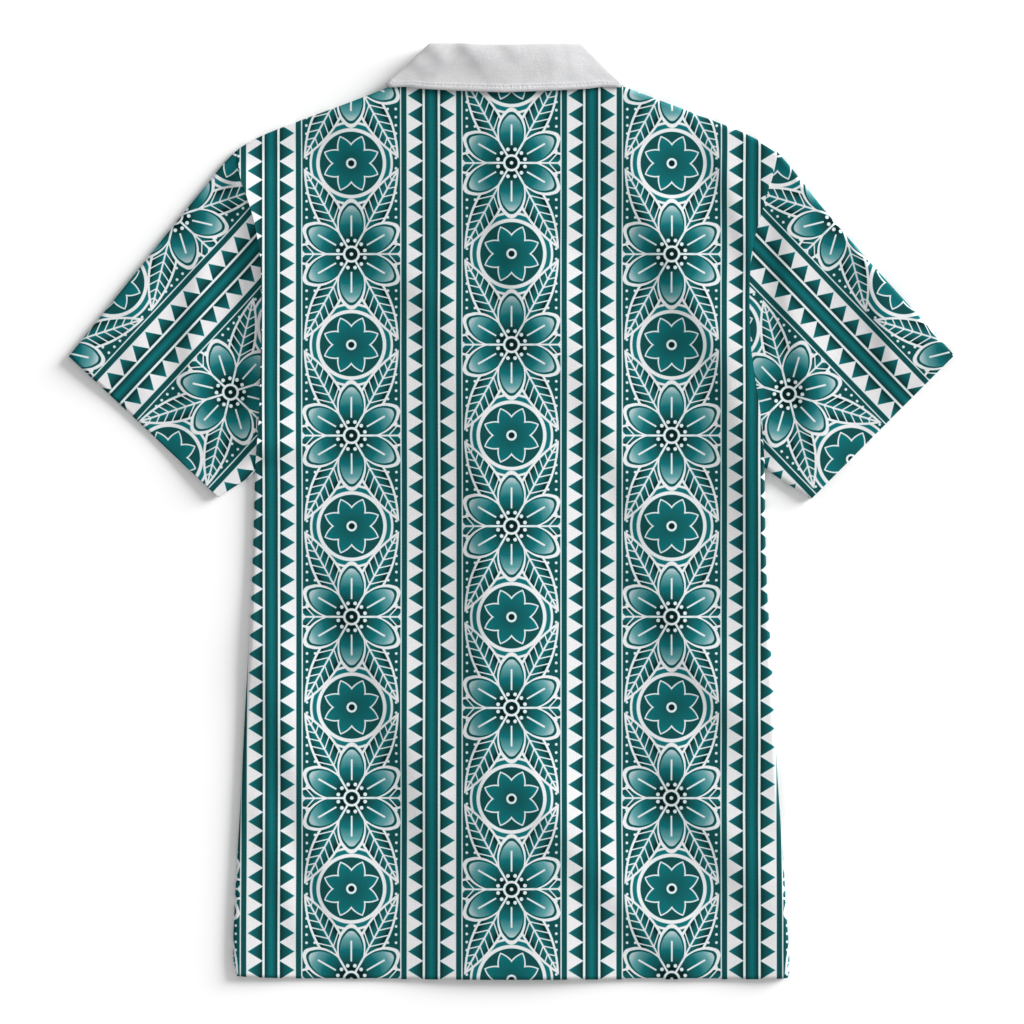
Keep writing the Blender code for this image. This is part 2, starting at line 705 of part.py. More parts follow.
def collar():
    """The collar as one folded strip: up from the neck seam, over the roll and down to its edge."""
    sections = [collar_front_section("left", share) for share in FRONT_COLLAR_SHARES[::-1]]
    sections += collar_turn_sections("left")[::-1]
    sections += [collar_back_section(share) for share in BACK_COLLAR_SHARES]
    sections += collar_turn_sections("right")
    sections += [collar_front_section("right", share) for share in FRONT_COLLAR_SHARES]
    points = np.array(sections)
    return cloth("collar", points, surface("collar_cloth", CLOTH_WHITE), COLLAR_WALL, 0.0)


def disc(name, width, low, high, sides, place):
    """A plain round plug between two heights, for cutting."""
    mesh = bpy.data.meshes.new(name)
    shape = bmesh.new()
    bmesh.ops.create_cone(
        shape,
        cap_ends=True,
        segments=sides,
        radius1=METRES * width / 2,
        radius2=METRES * width / 2,
        depth=METRES * (high - low),
    )
    shape.to_mesh(mesh)
    shape.free()
    plug = bpy.data.objects.new(name, mesh)
    plug.location = (METRES * place[0], METRES * place[1], METRES * (high + low) / 2)
    return plug


def button_profile():
    """Half the button's outline, from the middle of its dished face round to its flat back."""
    radius = BUTTON_WIDTH / 2
    top = BUTTON_BOTTOM + BUTTON_THICKNESS
    return (
        (0.0, BUTTON_BOTTOM + BUTTON_DISH),
        (radius - 2 * BUTTON_RIM_WIDTH, BUTTON_BOTTOM + BUTTON_DISH),
        (radius - BUTTON_RIM_WIDTH, BUTTON_BOTTOM),
        (radius - BUTTON_BEVEL, BUTTON_BOTTOM),
        (radius, BUTTON_BOTTOM + BUTTON_BEVEL),
        (radius, top - BUTTON_BEVEL),
        (radius - BUTTON_BEVEL, top),
        (0.0, top),
    )


def button(number, height, cutters):
    """A four-hole button, dished side down, below the left front's edge."""
    x = opening_x(height, 0.0)
    mesh = bpy.data.meshes.new("button_%d" % number)
    shape = bmesh.new()
    line = [shape.verts.new((METRES * r, 0.0, METRES * z)) for r, z in button_profile()]
    edges = [shape.edges.new(pair) for pair in zip(line[:-1], line[1:])]
    bmesh.ops.spin(
        shape,
        geom=line + edges,
        cent=(0.0, 0.0, 0.0),
        axis=(0.0, 0.0, 1.0),
        angle=2 * math.pi,
        steps=BUTTON_SIDES,
    )
    bmesh.ops.remove_doubles(shape, verts=shape.verts[:], dist=SAME_POINT)
    bmesh.ops.recalc_face_normals(shape, faces=shape.faces[:])
    shape.to_mesh(mesh)
    shape.free()
    piece = bpy.data.objects.new("button_%d" % number, mesh)
    piece.location = (METRES * x, METRES * height, 0.0)
    piece.data.materials.append(surface("button_shell_%d" % number, BUTTON_SHELL))
    low = BUTTON_BOTTOM - HOLE_OVERRUN
    high = BUTTON_BOTTOM + BUTTON_THICKNESS + HOLE_OVERRUN
    for corner in range(4):
        side = BUTTON_HOLE_SPREAD * (1 if corner % 2 else -1)
        level = BUTTON_HOLE_SPREAD * (1 if corner // 2 else -1)
        name = "button_hole_%d_%d" % (number, corner)
        plug = disc(name, BUTTON_HOLE_WIDTH, low, high, HOLE_SIDES, (x + side, height + level))
        plug.hide_render = True
        cutters.objects.link(plug)
        cut = piece.modifiers.new(name, "BOOLEAN")
        cut.operation = "DIFFERENCE"
        cut.solver = "EXACT"
        cut.object = plug
    return piece


def centre(pieces):
    """Moves everything so that the whole stands on the origin at the middle of its box."""
    bpy.context.view_layer.update()
    depsgraph = bpy.context.evaluated_depsgraph_get()
    places = []
    for piece in pieces:
        shown = piece.evaluated_get(depsgraph)
        places += [shown.matrix_world @ vertex.co for vertex in shown.data.vertices]
    low = [min(place[axis] for place in places) for axis in range(3)]
    high = [max(place[axis] for place in places) for axis in range(3)]
    shift = (-(low[0] + high[0]) / 2, -(low[1] + high[1]) / 2, -low[2])
    for thing in bpy.data.objects:
        thing.location = [old + step for old, step in zip(thing.location, shift)]


def main():
    for thing in list(bpy.data.objects):
        bpy.data.objects.remove(thing)
    shirt = bpy.data.collections.new(NAME)
    cutters = bpy.data.collections.new("cutters")
    for group in (shirt, cutters):
        bpy.context.scene.collection.children.link(group)
    cutters.hide_render = True
    pieces = [back_panel(), front_panel("left"), front_panel("right")]
    pieces += [sleeve("left"), sleeve("right"), collar()]
    for number, height in enumerate(BUTTON_HEIGHTS, 1):
        pieces.append(button(number, height, cutters))
    for piece in pieces:
        shirt.objects.link(piece)
    centre(pieces)


main()
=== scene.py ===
"""Short-sleeved shirt with an all-over print and a plain collar, lying flat and face down.

Sizes are in millimetres unless a name says otherwise. Plan points measure from the hem's middle.
Left and right are the wearer's, so the left side lies towards -X.
"""

import math

import bmesh
import bpy
import numpy as np
from mathutils import Matrix


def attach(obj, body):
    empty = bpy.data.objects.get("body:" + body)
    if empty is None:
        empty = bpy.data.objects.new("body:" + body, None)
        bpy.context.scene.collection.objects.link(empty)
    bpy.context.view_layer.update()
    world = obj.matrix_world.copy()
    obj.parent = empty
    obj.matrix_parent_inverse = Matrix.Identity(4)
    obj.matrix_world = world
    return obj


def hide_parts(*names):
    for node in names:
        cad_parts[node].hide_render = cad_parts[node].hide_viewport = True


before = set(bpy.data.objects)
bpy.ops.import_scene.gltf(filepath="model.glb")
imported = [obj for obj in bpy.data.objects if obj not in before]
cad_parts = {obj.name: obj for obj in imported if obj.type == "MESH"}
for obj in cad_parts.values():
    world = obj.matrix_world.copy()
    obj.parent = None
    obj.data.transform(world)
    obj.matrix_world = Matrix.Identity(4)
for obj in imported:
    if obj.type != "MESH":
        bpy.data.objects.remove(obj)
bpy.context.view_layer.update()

# Where the plan's zero lies in the frame, the size of a pixel, and the pixel at the plan's zero
METRES = 0.001
PLAN_TO_FRAME = (0.0, -402.66)
PIXEL = 0.86
PIXEL_MIDDLE = (511.5, 979.5)

# Cloth and seams
WALL = 1.2
LAYER_GAP = 0.3
SHELL = 0.75
COLLAR_SHELL = 1.1

# Heights of the outer faces above the floor
BACK_TOP = 2 * WALL + LAYER_GAP
FRONT_LIFT = 2.8
LAP_STEP = WALL + LAYER_GAP
NECK_BACK_LIFT = 5.0

# Folded edges: where back and front meet, how far the cloth curls, and the bead along the fold
FOLD_MIDDLE = 2.9
FOLD_STEP = 0.35
CURL = 3.6
BEAD_HEIGHT = 2.9
BEAD_REACH = 75.0
FOLD_SAMPLES = 120
ARMHOLE_SAMPLES = 60

# Neck
NECK_X = -6.5
NECK_HALF_WIDTH = 80.0
NECK_POINT_HEIGHT = 776.2
BACK_NECK_DROP = 8.7
FRONT_NECK_DROP = 76.2
NECK_LOWEST = NECK_POINT_HEIGHT - FRONT_NECK_DROP
NECK_SPREAD = 45.0
NECK_BACK_SPREAD = 85.0

# Front opening
LAP_HALF_WIDTH = 16.0
FRONT_LAP_FALL = 44.0
BACK_LAP_FALL = 105.0
LAP_TOP = 705.0
LAP_TOP_FALL = 57.0
LEFT_LAP_MARGIN = 1.0
RIGHT_LAP_MARGIN = 2.0

# Armhole ridge on the upper face: height, and how far it falls away on each side
RIDGE_HEIGHTS = {"left": 7.0, "right": 2.2}
RIDGE_ON_BODY = 46.0
RIDGE_ON_SLEEVE = {"left": 20.0, "right": 24.0}
RIDGE_FOOT = 7.0
RIDGE_FROM_UNDERARM = {"left": 26.0, "right": 50.0}
RIDGE_FROM_TIP = {"left": 34.0, "right": 60.0}
RIDGE_FROM_FOLD = 16.0

# Body sides and armholes. Columns: height above the hem, x.
SIDE_EDGES = {
    "left": (
        (3.2, -236.6), (9.0, -238.6), (26.0, -239.6), (51.0, -238.8), (104.0, -236.1),
        (148.0, -233.5), (240.0, -228.8), (309.0, -224.9), (380.0, -222.2), (437.3, -220.6),
        (465.0, -218.2), (498.0, -216.3), (585.0, -214.6), (616.0, -215.6), (651.5, -221.2),
        (673.4, -227.6), (690.0, -233.2), (713.5, -236.4),
    ),
    "right": (
        (1.4, 237.6), (8.0, 239.2), (26.0, 238.7), (51.0, 236.9), (109.0, 233.5), (179.0, 228.6),
        (240.0, 225.8), (361.0, 219.0), (441.0, 217.6), (465.0, 215.8), (491.5, 213.2),
        (520.0, 209.0), (545.7, 205.8), (585.0, 204.6), (616.0, 205.6), (631.7, 207.7),
        (651.5, 212.9), (675.5, 219.7), (691.8, 224.9), (711.6, 229.0),
    ),
}
UNDERARM_HEIGHTS = {"left": 437.3, "right": 441.0}
UNDERARM_SHARE = 0.6

# Hem line. Columns: share of the way from left to right, height.
HEM_LINE = (
    (0.0, 3.2), (0.03, 2.0), (0.12, 0.8), (0.3, 0.2), (0.7, 0.0), (0.97, 0.4), (1.0, 1.4),
)

# Shoulder lines. Columns: x, height.
SHOULDER_LINES = {
    "left": (
        (-236.4, 713.5), (-227.0, 719.6), (-214.6, 726.0), (-196.0, 733.6), (-107.9, 766.7),
        (-86.5, 776.2),
    ),
    "right": (
        (73.5, 776.2), (94.4, 768.6), (181.0, 736.0), (196.5, 729.7), (210.0, 723.4),
        (220.6, 717.2), (229.0, 711.6),
    ),
}

# Sleeve folds from the body to the cuff. Columns: x, height.
SLEEVE_TOP_FOLDS = {
    "left": ((-236.4, 713.5), (-246.5, 703.4), (-258.0, 689.4), (-381.0, 536.2)),
    "right": ((229.0, 711.6), (239.0, 700.4), (250.0, 686.6), (268.8, 662.6), (381.0, 537.1)),
}
SLEEVE_UNDER_FOLDS = {
    "left": ((-220.6, 437.3), (-226.0, 432.2), (-234.4, 426.4), (-252.4, 415.0)),
    "right": ((217.6, 441.0), (224.0, 435.6), (241.2, 424.0), (257.6, 413.2)),
}

# Fine grids: insets from an edge, then even steps. A side line's pull fades with this power of the distance.
EDGE_INSETS = (0.0, 0.2, 0.7, 1.5, 2.5, 3.6, 5.4, 7.8, 10.6)
GRID_STEP = 3.5
SIDE_PULL = 3

# Sleeve under the body's edge: how far it is tucked in, and how far and over what reach it dips
SLEEVE_TUCK = 1.4
SLEEVE_DIP = 1.0
SLEEVE_DIP_REACH = 40.0
SLEEVE_TUCK_START = 12.0

# Collar stack, by distance above and below its middle height
COLLAR_MIDDLE = 5.2
STAND_OFFSET = 1.9
FALL_OFFSET = 4.5
BACK_EDGE_OFFSET = 3.8
ROLL_STEPS = 10
STAND_STEPS = 6
FALL_STEPS = 16
TURN_STEPS = 18
BACK_STEPS = 34
FRONT_STEPS = 26
STAND_GAP = 0.6
TURN_NECK = (78.0, 777.0)
TURN_ROLL = {"left": (61.8, 800.4), "right": (65.6, 800.4)}
TURN_ROLL_RISE = 2.8
TURN_CORNER_DROP = 1.2
TURN_SQUARENESS = 0.5
TURN_EDGE = {"left": (98.4, 766.8), "right": (99.8, 766.8)}

# Back collar. Columns: share from the middle to the turn, height.
BACK_ROLL_LINE = ((0, 801.7), (0.35, 802.5), (0.7, 803.2), (0.88, 803.3), (1, 803.2))
BACK_EDGE_LINE = ((0, 762.4), (0.38, 763.8), (0.56, 764.7), (0.72, 765.6), (0.86, 767.3), (1, 766.8))

# Front collar. Columns: share of the way to the front end, x from the neck's middle, height.
FRONT_ROLL_LINE = ((0.25, 56.5, 782.0), (0.5, 45.0, 762.0), (0.75, 28.0, 745.0), (1, 4.5, 731.0))
FRONT_EDGE_LINE = ((0.25, 95.5, 744.0), (0.5, 88.5, 721.0), (0.75, 75.0, 697.0), (1, 52.0, 671.0))
FRONT_END_ANGLE = 87.0

# Where the collar lies under the fronts. Columns: x from the neck's middle, height.
COLLAR_PATCH = (
    (-66.0, 806.0), (-103.0, 769.0), (-98.0, 743.0), (-91.0, 719.0), (-77.0, 694.0), (-53.0, 667.0),
    (53.0, 667.0), (77.0, 694.0), (91.0, 719.0), (98.0, 743.0), (103.0, 769.0), (70.0, 806.0),
)

# Buttons
BUTTON_HEIGHTS = (674.0, 574.0, 474.0, 374.0, 274.0, 174.0)
BUTTON_BOTTOM = 0.4


SIGN = {"left": -1.0, "right": 1.0}
TINY = 1e-6
FULL_TURN = 2.0 * math.pi


def pairs(x, y):
    """Plan points from their x and y."""
    return np.stack([x, y], axis=-1)


def raised(plan, height):
    """Plan points with their height above the floor."""
    return np.concatenate([plan, height[..., None]], axis=-1)


def running(steps):
    """The running total of steps, from 0."""
    return np.concatenate([[0.0], np.cumsum(steps)])


def unit(vectors):
    return vectors / np.linalg.norm(vectors, axis=-1, keepdims=True)


def smooth(share):
    share = np.clip(share, 0.0, 1.0)
    return share * share * (3.0 - 2.0 * share)


def curve(table, at):
    """Values of a two-column table at these keys, smooth and with no overshoot."""
    keys = np.array([row[0] for row in table], float)
    values = np.array([row[1] for row in table], float)
    step = np.diff(keys)
    slope = np.diff(values) / step
    before, after = slope[:-1], slope[1:]
    same_way = before * after > 0
    total = np.where(same_way, before + after, 1.0)
    inner = np.where(same_way, 2.0 * before * after / total, 0.0)
    tangent = np.concatenate([slope[:1], inner, slope[-1:]])
    at = np.clip(np.asarray(at, float), keys[0], keys[-1])
    place = np.clip(np.searchsorted(keys, at) - 1, 0, len(step) - 1)
    width = step[place]
    t = (at - keys[place]) / width
    rise = values[place + 1] - values[place]
    start = tangent[place] * width
    end = tangent[place + 1] * width
    return values[place] + t * start + t * t * (3 * rise - 2 * start - end) + t**3 * (start + end - 2 * rise)


def along(points, shares):
    """Plan points at these shares of a line's length."""
    points = np.array(points, float)
    steps = np.hypot(*np.diff(points, axis=0).T)
    reach = running(steps) / steps.sum()
    columns = [curve(np.stack([reach, column], axis=1), shares) for column in points.T]
    return np.stack(columns, axis=-1)


CHUNK = 2000


def from_steps(places, line):
    """For each place and step of a line: the nearest share along the step, and the offset from there."""
    start, run = line[:-1], np.diff(line, axis=0)
    offset = places[:, None, :] - start
    share = np.clip((offset * run).sum(axis=-1) / np.maximum((run**2).sum(axis=-1), TINY), 0.0, 1.0)
    return share, offset - share[..., None] * run


def away(points, line):
    """Distance of plan points from a line of plan points."""
    flat = points.reshape(-1, 2)
    nearest = []
    for part in np.array_split(flat, max(1, len(flat) // CHUNK)):
        _, gap = from_steps(part, line)
        nearest.append(np.sqrt((gap**2).sum(axis=-1).min(axis=-1)))
    return np.concatenate(nearest).reshape(points.shape[:-1])


def side_line(side, shares):
    """Plan points on a side: from the hem to the underarm, then up the armhole to the tip."""
    table = SIDE_EDGES[side]
    stops = (0.0, UNDERARM_SHARE, 1.0)
    heights = np.interp(shares, stops, (table[0][0], UNDERARM_HEIGHTS[side], table[-1][0]))
    return pairs(curve(table, heights), heights)


def fold_lines():
    """The four folded edges: each side with its sleeve, under the arm and over the shoulder."""
    lines = []
    for side in ("left", "right"):
        body = side_line(side, np.linspace(0.0, UNDERARM_SHARE, FOLD_SAMPLES))
        under = along(SLEEVE_UNDER_FOLDS[side], np.linspace(0.0, 1.0, FOLD_SAMPLES))
        lines.append(np.concatenate([body, under]))
        over = along(SLEEVE_TOP_FOLDS[side], np.linspace(1.0, 0.0, FOLD_SAMPLES))
        shoulder = SHOULDER_LINES[side]
        across = np.linspace(shoulder[0][0], shoulder[-1][0], FOLD_SAMPLES)
        seam = pairs(across, curve(shoulder, across))
        lines.append(np.concatenate([over, seam if side == "left" else seam[::-1]]))
    return lines


FOLDS = fold_lines()
ARMHOLES = {
    side: side_line(side, np.linspace(UNDERARM_SHARE, 1.0, ARMHOLE_SAMPLES)) for side in SIDE_EDGES
}


def fold_distance(plan):
    return np.min([away(plan, line) for line in FOLDS], axis=0)


def near_neck(plan, spread):
    """1 over the collar, falling to 0 this far outside it."""
    patch_line = np.array(COLLAR_PATCH) + (NECK_X, 0.0)
    loop = np.concatenate([patch_line, patch_line[:1]])
    run = np.diff(loop, axis=0)
    offset = plan[..., None, :] - patch_line
    inside = (run[:, 0] * offset[..., 1] - run[:, 1] * offset[..., 0] >= 0).all(axis=-1)
    outside = np.where(inside, 0.0, away(plan, loop))
    return 1.0 - smooth(outside / spread)


def from_opening(plan):
    """Signed distance from the line down the middle of the front."""
    return plan[..., 0] - NECK_X * plan[..., 1] / NECK_LOWEST


def fold_middle(plan):
    neck = near_neck(plan, NECK_SPREAD)
    return FOLD_MIDDLE + (COLLAR_MIDDLE - FOLD_MIDDLE) * neck


def curled(distance):
    return np.sqrt(1.0 - (1.0 - np.clip(distance / CURL, 0.0, 1.0)) ** 2)


def armhole_ridge(plan):
    """The soft ridge along each armhole, steep on the sleeve and gentle on the body."""
    height = np.zeros(plan.shape[:-1])
    for side, line in ARMHOLES.items():
        gap = away(plan, line)
        edge = curve(SIDE_EDGES[side], plan[..., 1])
        on_sleeve = SIGN[side] * (plan[..., 0] - edge) > 0
        ramp = RIDGE_FOOT * (1.0 - gap / RIDGE_ON_SLEEVE[side])
        slope = np.where(on_sleeve, np.logaddexp(0.0, ramp) / RIDGE_FOOT, np.exp(-gap / RIDGE_ON_BODY))
        low, high = UNDERARM_HEIGHTS[side], SIDE_EDGES[side][-1][0]
        middle = smooth((plan[..., 1] - low) / RIDGE_FROM_UNDERARM[side])
        middle *= smooth((high - plan[..., 1]) / RIDGE_FROM_TIP[side])
        height += RIDGE_HEIGHTS[side] * middle * slope
    return height


def upper_face(plan, creases):
    """Height of the outer face of what lies on top: the back and the sleeves' upper halves."""
    distance = fold_distance(plan)
    neck = near_neck(plan, NECK_SPREAD)
    wide_neck = near_neck(plan, NECK_BACK_SPREAD)
    beside = np.abs(from_opening(plan)) - LAP_HALF_WIDTH
    lap = 1.0 - smooth(beside / BACK_LAP_FALL)
    lap *= 1.0 - smooth((plan[..., 1] - LAP_TOP) / LAP_TOP_FALL)
    lift = np.maximum(NECK_BACK_LIFT * wide_neck, (FRONT_LIFT + LAP_STEP) * lap)
    bead = BEAD_HEIGHT * (1.0 - neck) * (1.0 - smooth(distance / BEAD_REACH))
    ridge = armhole_ridge(plan) * smooth(distance / RIDGE_FROM_FOLD)
    top = BACK_TOP + lift + bead + ridge + creased(plan, creases)
    foot = fold_middle(plan) + FOLD_STEP
    return foot + (top - foot) * curled(distance)


def lower_face(plan, creases):
    """Height of the outer face of what lies underneath: the fronts and the sleeves' lower halves."""
    beside = np.abs(from_opening(plan)) - LAP_HALF_WIDTH - LEFT_LAP_MARGIN
    lap = 1.0 - smooth(beside / FRONT_LAP_FALL)
    bottom = FRONT_LIFT * np.maximum(near_neck(plan, NECK_SPREAD), lap)
    bottom += UNDERSIDE_SHARE * creased(plan, creases)
    foot = fold_middle(plan) - FOLD_STEP
    return foot + (bottom - foot) * curled(fold_distance(plan))


def to_plan(pixels):
    """Plan points for points given in the photograph's pixels."""
    pixels = np.array(pixels, float)
    x = (pixels[:, 0] - PIXEL_MIDDLE[0]) * PIXEL
    return pairs(x, (PIXEL_MIDDLE[1] - pixels[:, 1]) * PIXEL)


# Folds: samples of a crest line, the share of it over which an end fades, how far a fold is felt in widths
CREASE_SAMPLES = 50
CREASE_END = 0.3
CREASE_WIDTHS = 3.0


def creased(plan, table):
    """Summed height of soft folds. A fold's left is the picture's left where its line runs down."""
    flat = plan.reshape(-1, 2)
    total = np.zeros(len(flat))
    for pixels, height, left, right in table:
        line = along(to_plan(pixels), np.linspace(0.0, 1.0, CREASE_SAMPLES))
        reach = CREASE_WIDTHS * max(left, right)
        near = ((flat > line.min(axis=0) - reach) & (flat < line.max(axis=0) + reach)).all(axis=1)
        if not near.any():
            continue
        place = flat[near]
        run = np.diff(line, axis=0)
        share, gap = from_steps(place, line)
        distance = np.sqrt((gap**2).sum(axis=-1))
        nearest = distance.argmin(axis=1)
        pick = np.arange(len(place))
        side = run[nearest, 0] * gap[pick, nearest, 1] - run[nearest, 1] * gap[pick, nearest, 0]
        width = np.where(side < 0, left, right)
        far = distance[pick, nearest]
        travel = (nearest + share[pick, nearest]) / (len(line) - 1)
        taper = smooth(travel / CREASE_END) * smooth((1.0 - travel) / CREASE_END)
        total[near] += height * taper * np.exp(-((far / width) ** 2))
    return total.reshape(plan.shape[:-1])


def hem_line(x):
    left, right = SIDE_EDGES["left"][0][1], SIDE_EDGES["right"][0][1]
    return curve(HEM_LINE, (x - left) / (right - left))


def hem_between(start, end):
    """The hem's plan points at shares of the way from one x to another."""

    def at(share):
        x = start + (end - start) * np.asarray(share, float)
        return pairs(x, hem_line(x))

    return at


def back_neckline(x):
    share = np.clip((x - NECK_X) / NECK_HALF_WIDTH, -1.0, 1.0)
    return NECK_POINT_HEIGHT - BACK_NECK_DROP * (1.0 - share**2)


def opening_x(height, offset):
    """x of a line beside the front's middle line, at this height."""
    return NECK_X * height / NECK_LOWEST + offset


def front_neck(degrees, gap=0.0):
    """Plan points round the front neckline, from a neck point (0) down to the middle (90)."""
    angle = np.radians(degrees)
    across = (NECK_HALF_WIDTH - gap) * np.cos(angle)
    height = NECK_POINT_HEIGHT - (FRONT_NECK_DROP - gap) * np.sin(angle)
    return across, height


def spaced(length, fine_start, fine_end):
    """Shares across a length: close together at a fine end, then in even steps."""
    insets = np.array(EDGE_INSETS)
    low = insets if fine_start else np.zeros(1)
    high = length - (insets[::-1] if fine_end else np.zeros(1))
    count = max(2, int(round((high[0] - low[-1]) / GRID_STEP)))
    even = np.linspace(low[-1], high[0], count + 1)
    return np.concatenate([low[:-1], even, high[1:]]) / length


def patch(hem, top, left, right, across, up):
    """Plan points ruled from hem to top, pulled to the left and right lines near them."""
    u, v = across[..., None], up[..., None]
    ruled = (1 - v) * hem(across) + v * top(across)
    from_left = left(up) - (1 - v) * left(0.0) - v * left(1.0)
    from_right = right(up) - (1 - v) * right(0.0) - v * right(1.0)
    return ruled + (1 - u) ** SIDE_PULL * from_left + u**SIDE_PULL * from_right


def unrolled(points):
    """Where each point of a grid lies on the flat cut, in plan: what stands up is laid down outwards."""
    plan = points[..., :2].copy()
    for axis in (0, 1):
        run = np.diff(points, axis=axis)
        flat = np.linalg.norm(run[..., :2], axis=-1, keepdims=True)
        extra = np.linalg.norm(run, axis=-1, keepdims=True) - flat
        shift = np.cumsum(extra * run[..., :2] / np.maximum(flat, TINY), axis=axis)
        shift = np.concatenate([np.zeros_like(np.take(shift, [0], axis)), shift], axis=axis)
        plan += shift - np.take(shift, [shift.shape[axis] // 2], axis)
    return plan


def in_frame(points):
    """Points of the plan, in millimetres, as places in the frame, in metres."""
    return METRES * (np.asarray(points, float) + (*PLAN_TO_FRAME, 0.0))


def placed(name, data):
    """An object in the scene."""
    thing = bpy.data.objects.new(name, data)
    bpy.context.scene.collection.objects.link(thing)
    return thing


def add_piece(name, mesh, materials):
    piece = placed(name, mesh)
    for material in materials:
        mesh.materials.append(material)
    mesh.shade_smooth()
    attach(piece, "root")
    return piece


def grid_mesh(name, points, cut, flip):
    """A smooth sheet of quads through a grid of points, which knows its place on the flat cut."""
    rows, columns = points.shape[:2]
    corner = np.arange(rows * columns).reshape(rows, columns)
    low, high = corner[:-1], corner[1:]
    faces = np.stack([low[:, :-1], low[:, 1:], high[:, 1:], high[:, :-1]], axis=-1).reshape(-1, 4)
    if flip:
        faces = faces[:, ::-1]
    mesh = bpy.data.meshes.new(name)
    mesh.from_pydata(in_frame(points).reshape(-1, 3), [], faces.tolist())
    place = mesh.attributes.new("cut", "FLOAT_VECTOR", "POINT")
    values = np.zeros((rows * columns, 3), np.float32)
    values[:, : cut.shape[-1]] = cut.reshape(rows * columns, -1)
    place.data.foreach_set("vector", values.ravel())
    return mesh


def cloth(name, node, points, cut, materials, wall=SHELL, offset=-1.0, flip=False):
    """A thin shell behind a grid of points, in place of a CAD node."""
    piece = add_piece(name, grid_mesh(name, points, cut, flip), materials)
    thicken = piece.modifiers.new("wall", "SOLIDIFY")
    thicken.thickness = wall * METRES
    thicken.offset = offset
    thicken.use_rim = True
    thicken.material_offset = 1 if len(materials) > 1 else 0
    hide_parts(node)
    return piece


def flat_size(cut):
    """Width, length and area of a flat cut, in metres and square metres."""
    flat = cut[..., :2] * METRES
    width, length = flat.reshape(-1, 2).max(axis=0) - flat.reshape(-1, 2).min(axis=0)
    first, second = flat[1:, 1:] - flat[:-1, :-1], flat[1:, :-1] - flat[:-1, 1:]
    area = np.abs(first[..., 0] * second[..., 1] - first[..., 1] * second[..., 0]).sum() / 2.0
    return (float(width), float(length)), float(area)


def laid(cut):
    """Works out the width, length and area of a piece's flat cut; nothing is kept."""
    flat, area = flat_size(cut)


# Soft folds. Columns: crest line in pixels, height, reach to its left and to its right.
BACK_CREASES = (
    (((318, 480), (345, 580), (385, 680), (425, 790), (450, 930)), 3.2, 21.0, 38.0),
    (((246, 560), (272, 680), (300, 780), (326, 870), (350, 990)), 3.2, 18.0, 34.0),
    (((420, 320), (484, 430), (488, 540), (488, 660), (490, 780), (486, 990)), 4.0, 19.0, 54.0),
    (((500, 740), (566, 830), (622, 900), (720, 1000)), 3.2, 20.0, 36.0),
    (((600, 70), (646, 200), (690, 300), (730, 370), (750, 470), (764, 640)), 4.2, 19.0, 32.0),
    (((498, 70), (500, 180), (520, 280), (570, 390)), 3.2, 18.0, 46.0),
    (((574, 300), (608, 430), (655, 520), (712, 610)), 2.9, 19.0, 34.0),
    (((596, 530), (660, 590), (706, 680), (776, 750)), 3.0, 19.0, 24.0),
    (((640, 690), (690, 790), (740, 860), (790, 930)), 2.4, 22.0, 26.0),
    (((340, 170), (392, 250), (430, 300), (470, 360)), 2.0, 20.0, 24.0),
    (((706, 120), (736, 210), (758, 290)), 1.7, 9.0, 13.0),
    (((252, 770), (280, 870), (314, 980)), 1.5, 12.0, 14.0),
)
SLEEVE_CREASES = {
    "left": (
        (((240, 160), (233, 220), (226, 280)), 1.3, 6.0, 8.0),
        (((216, 190), (198, 290), (192, 370), (190, 460)), 2.5, 12.0, 18.0),
        (((142, 270), (136, 350), (152, 430)), 1.2, 14.0, 18.0),
    ),
    "right": (
        (((792, 160), (789, 290), (810, 390), (816, 500)), 2.9, 13.0, 26.0),
        (((850, 220), (880, 310), (902, 400)), 2.2, 11.0, 17.0),
    ),
}

# How much of a fold's height shows underneath
UNDERSIDE_SHARE = 0.45


def back_sheet(materials):
    """The back, over everything but the collar's fall."""
    left_tip, right_tip = SIDE_EDGES["left"][-1][1], SIDE_EDGES["right"][-1][1]
    left_corner, right_corner = SIDE_EDGES["left"][0][1], SIDE_EDGES["right"][0][1]

    def top(share):
        x = left_tip + (right_tip - left_tip) * np.asarray(share, float)
        left, right = curve(SHOULDER_LINES["left"], x), curve(SHOULDER_LINES["right"], x)
        neck = x - NECK_X
        edge = np.where(neck < 0, left, right)
        height = np.where(np.abs(neck) > NECK_HALF_WIDTH, edge, back_neckline(x))
        return pairs(x, height)

    across = spaced(right_corner - left_corner, True, True)
    across, up = np.meshgrid(across, spaced(NECK_POINT_HEIGHT, False, True))
    sides = [lambda share, side=side: side_line(side, share) for side in ("left", "right")]
    plan = patch(hem_between(left_corner, right_corner), top, *sides, across, up)
    points = raised(plan, upper_face(plan, BACK_CREASES))
    cut = unrolled(points)
    piece = cloth("back_cloth", "back", points, cut, materials)
    laid(cut)


SHOULDER_SAMPLES = 80
NECKLINE_SAMPLES = 60
NECKLINE_START = 2.0
LAP_SAMPLES = 6


def front_top_line(side, edge_offset):
    """A front's upper edge: along the shoulder, round the neckline and across the lap."""
    neck = NECK_X + SIGN[side] * NECK_HALF_WIDTH
    shoulder_x = np.linspace(SIDE_EDGES[side][-1][1], neck, SHOULDER_SAMPLES)
    shoulder = pairs(shoulder_x, curve(SHOULDER_LINES[side], shoulder_x))
    neck_x, neck_y = front_neck(np.linspace(NECKLINE_START, 90.0, NECKLINE_SAMPLES))
    neckline = pairs(NECK_X + SIGN[side] * neck_x, neck_y)
    lap_x = np.linspace(NECK_X, opening_x(NECK_LOWEST, edge_offset), LAP_SAMPLES)[1:]
    lap = pairs(lap_x, np.full(lap_x.shape, NECK_LOWEST))
    return np.concatenate([shoulder, neckline, lap])


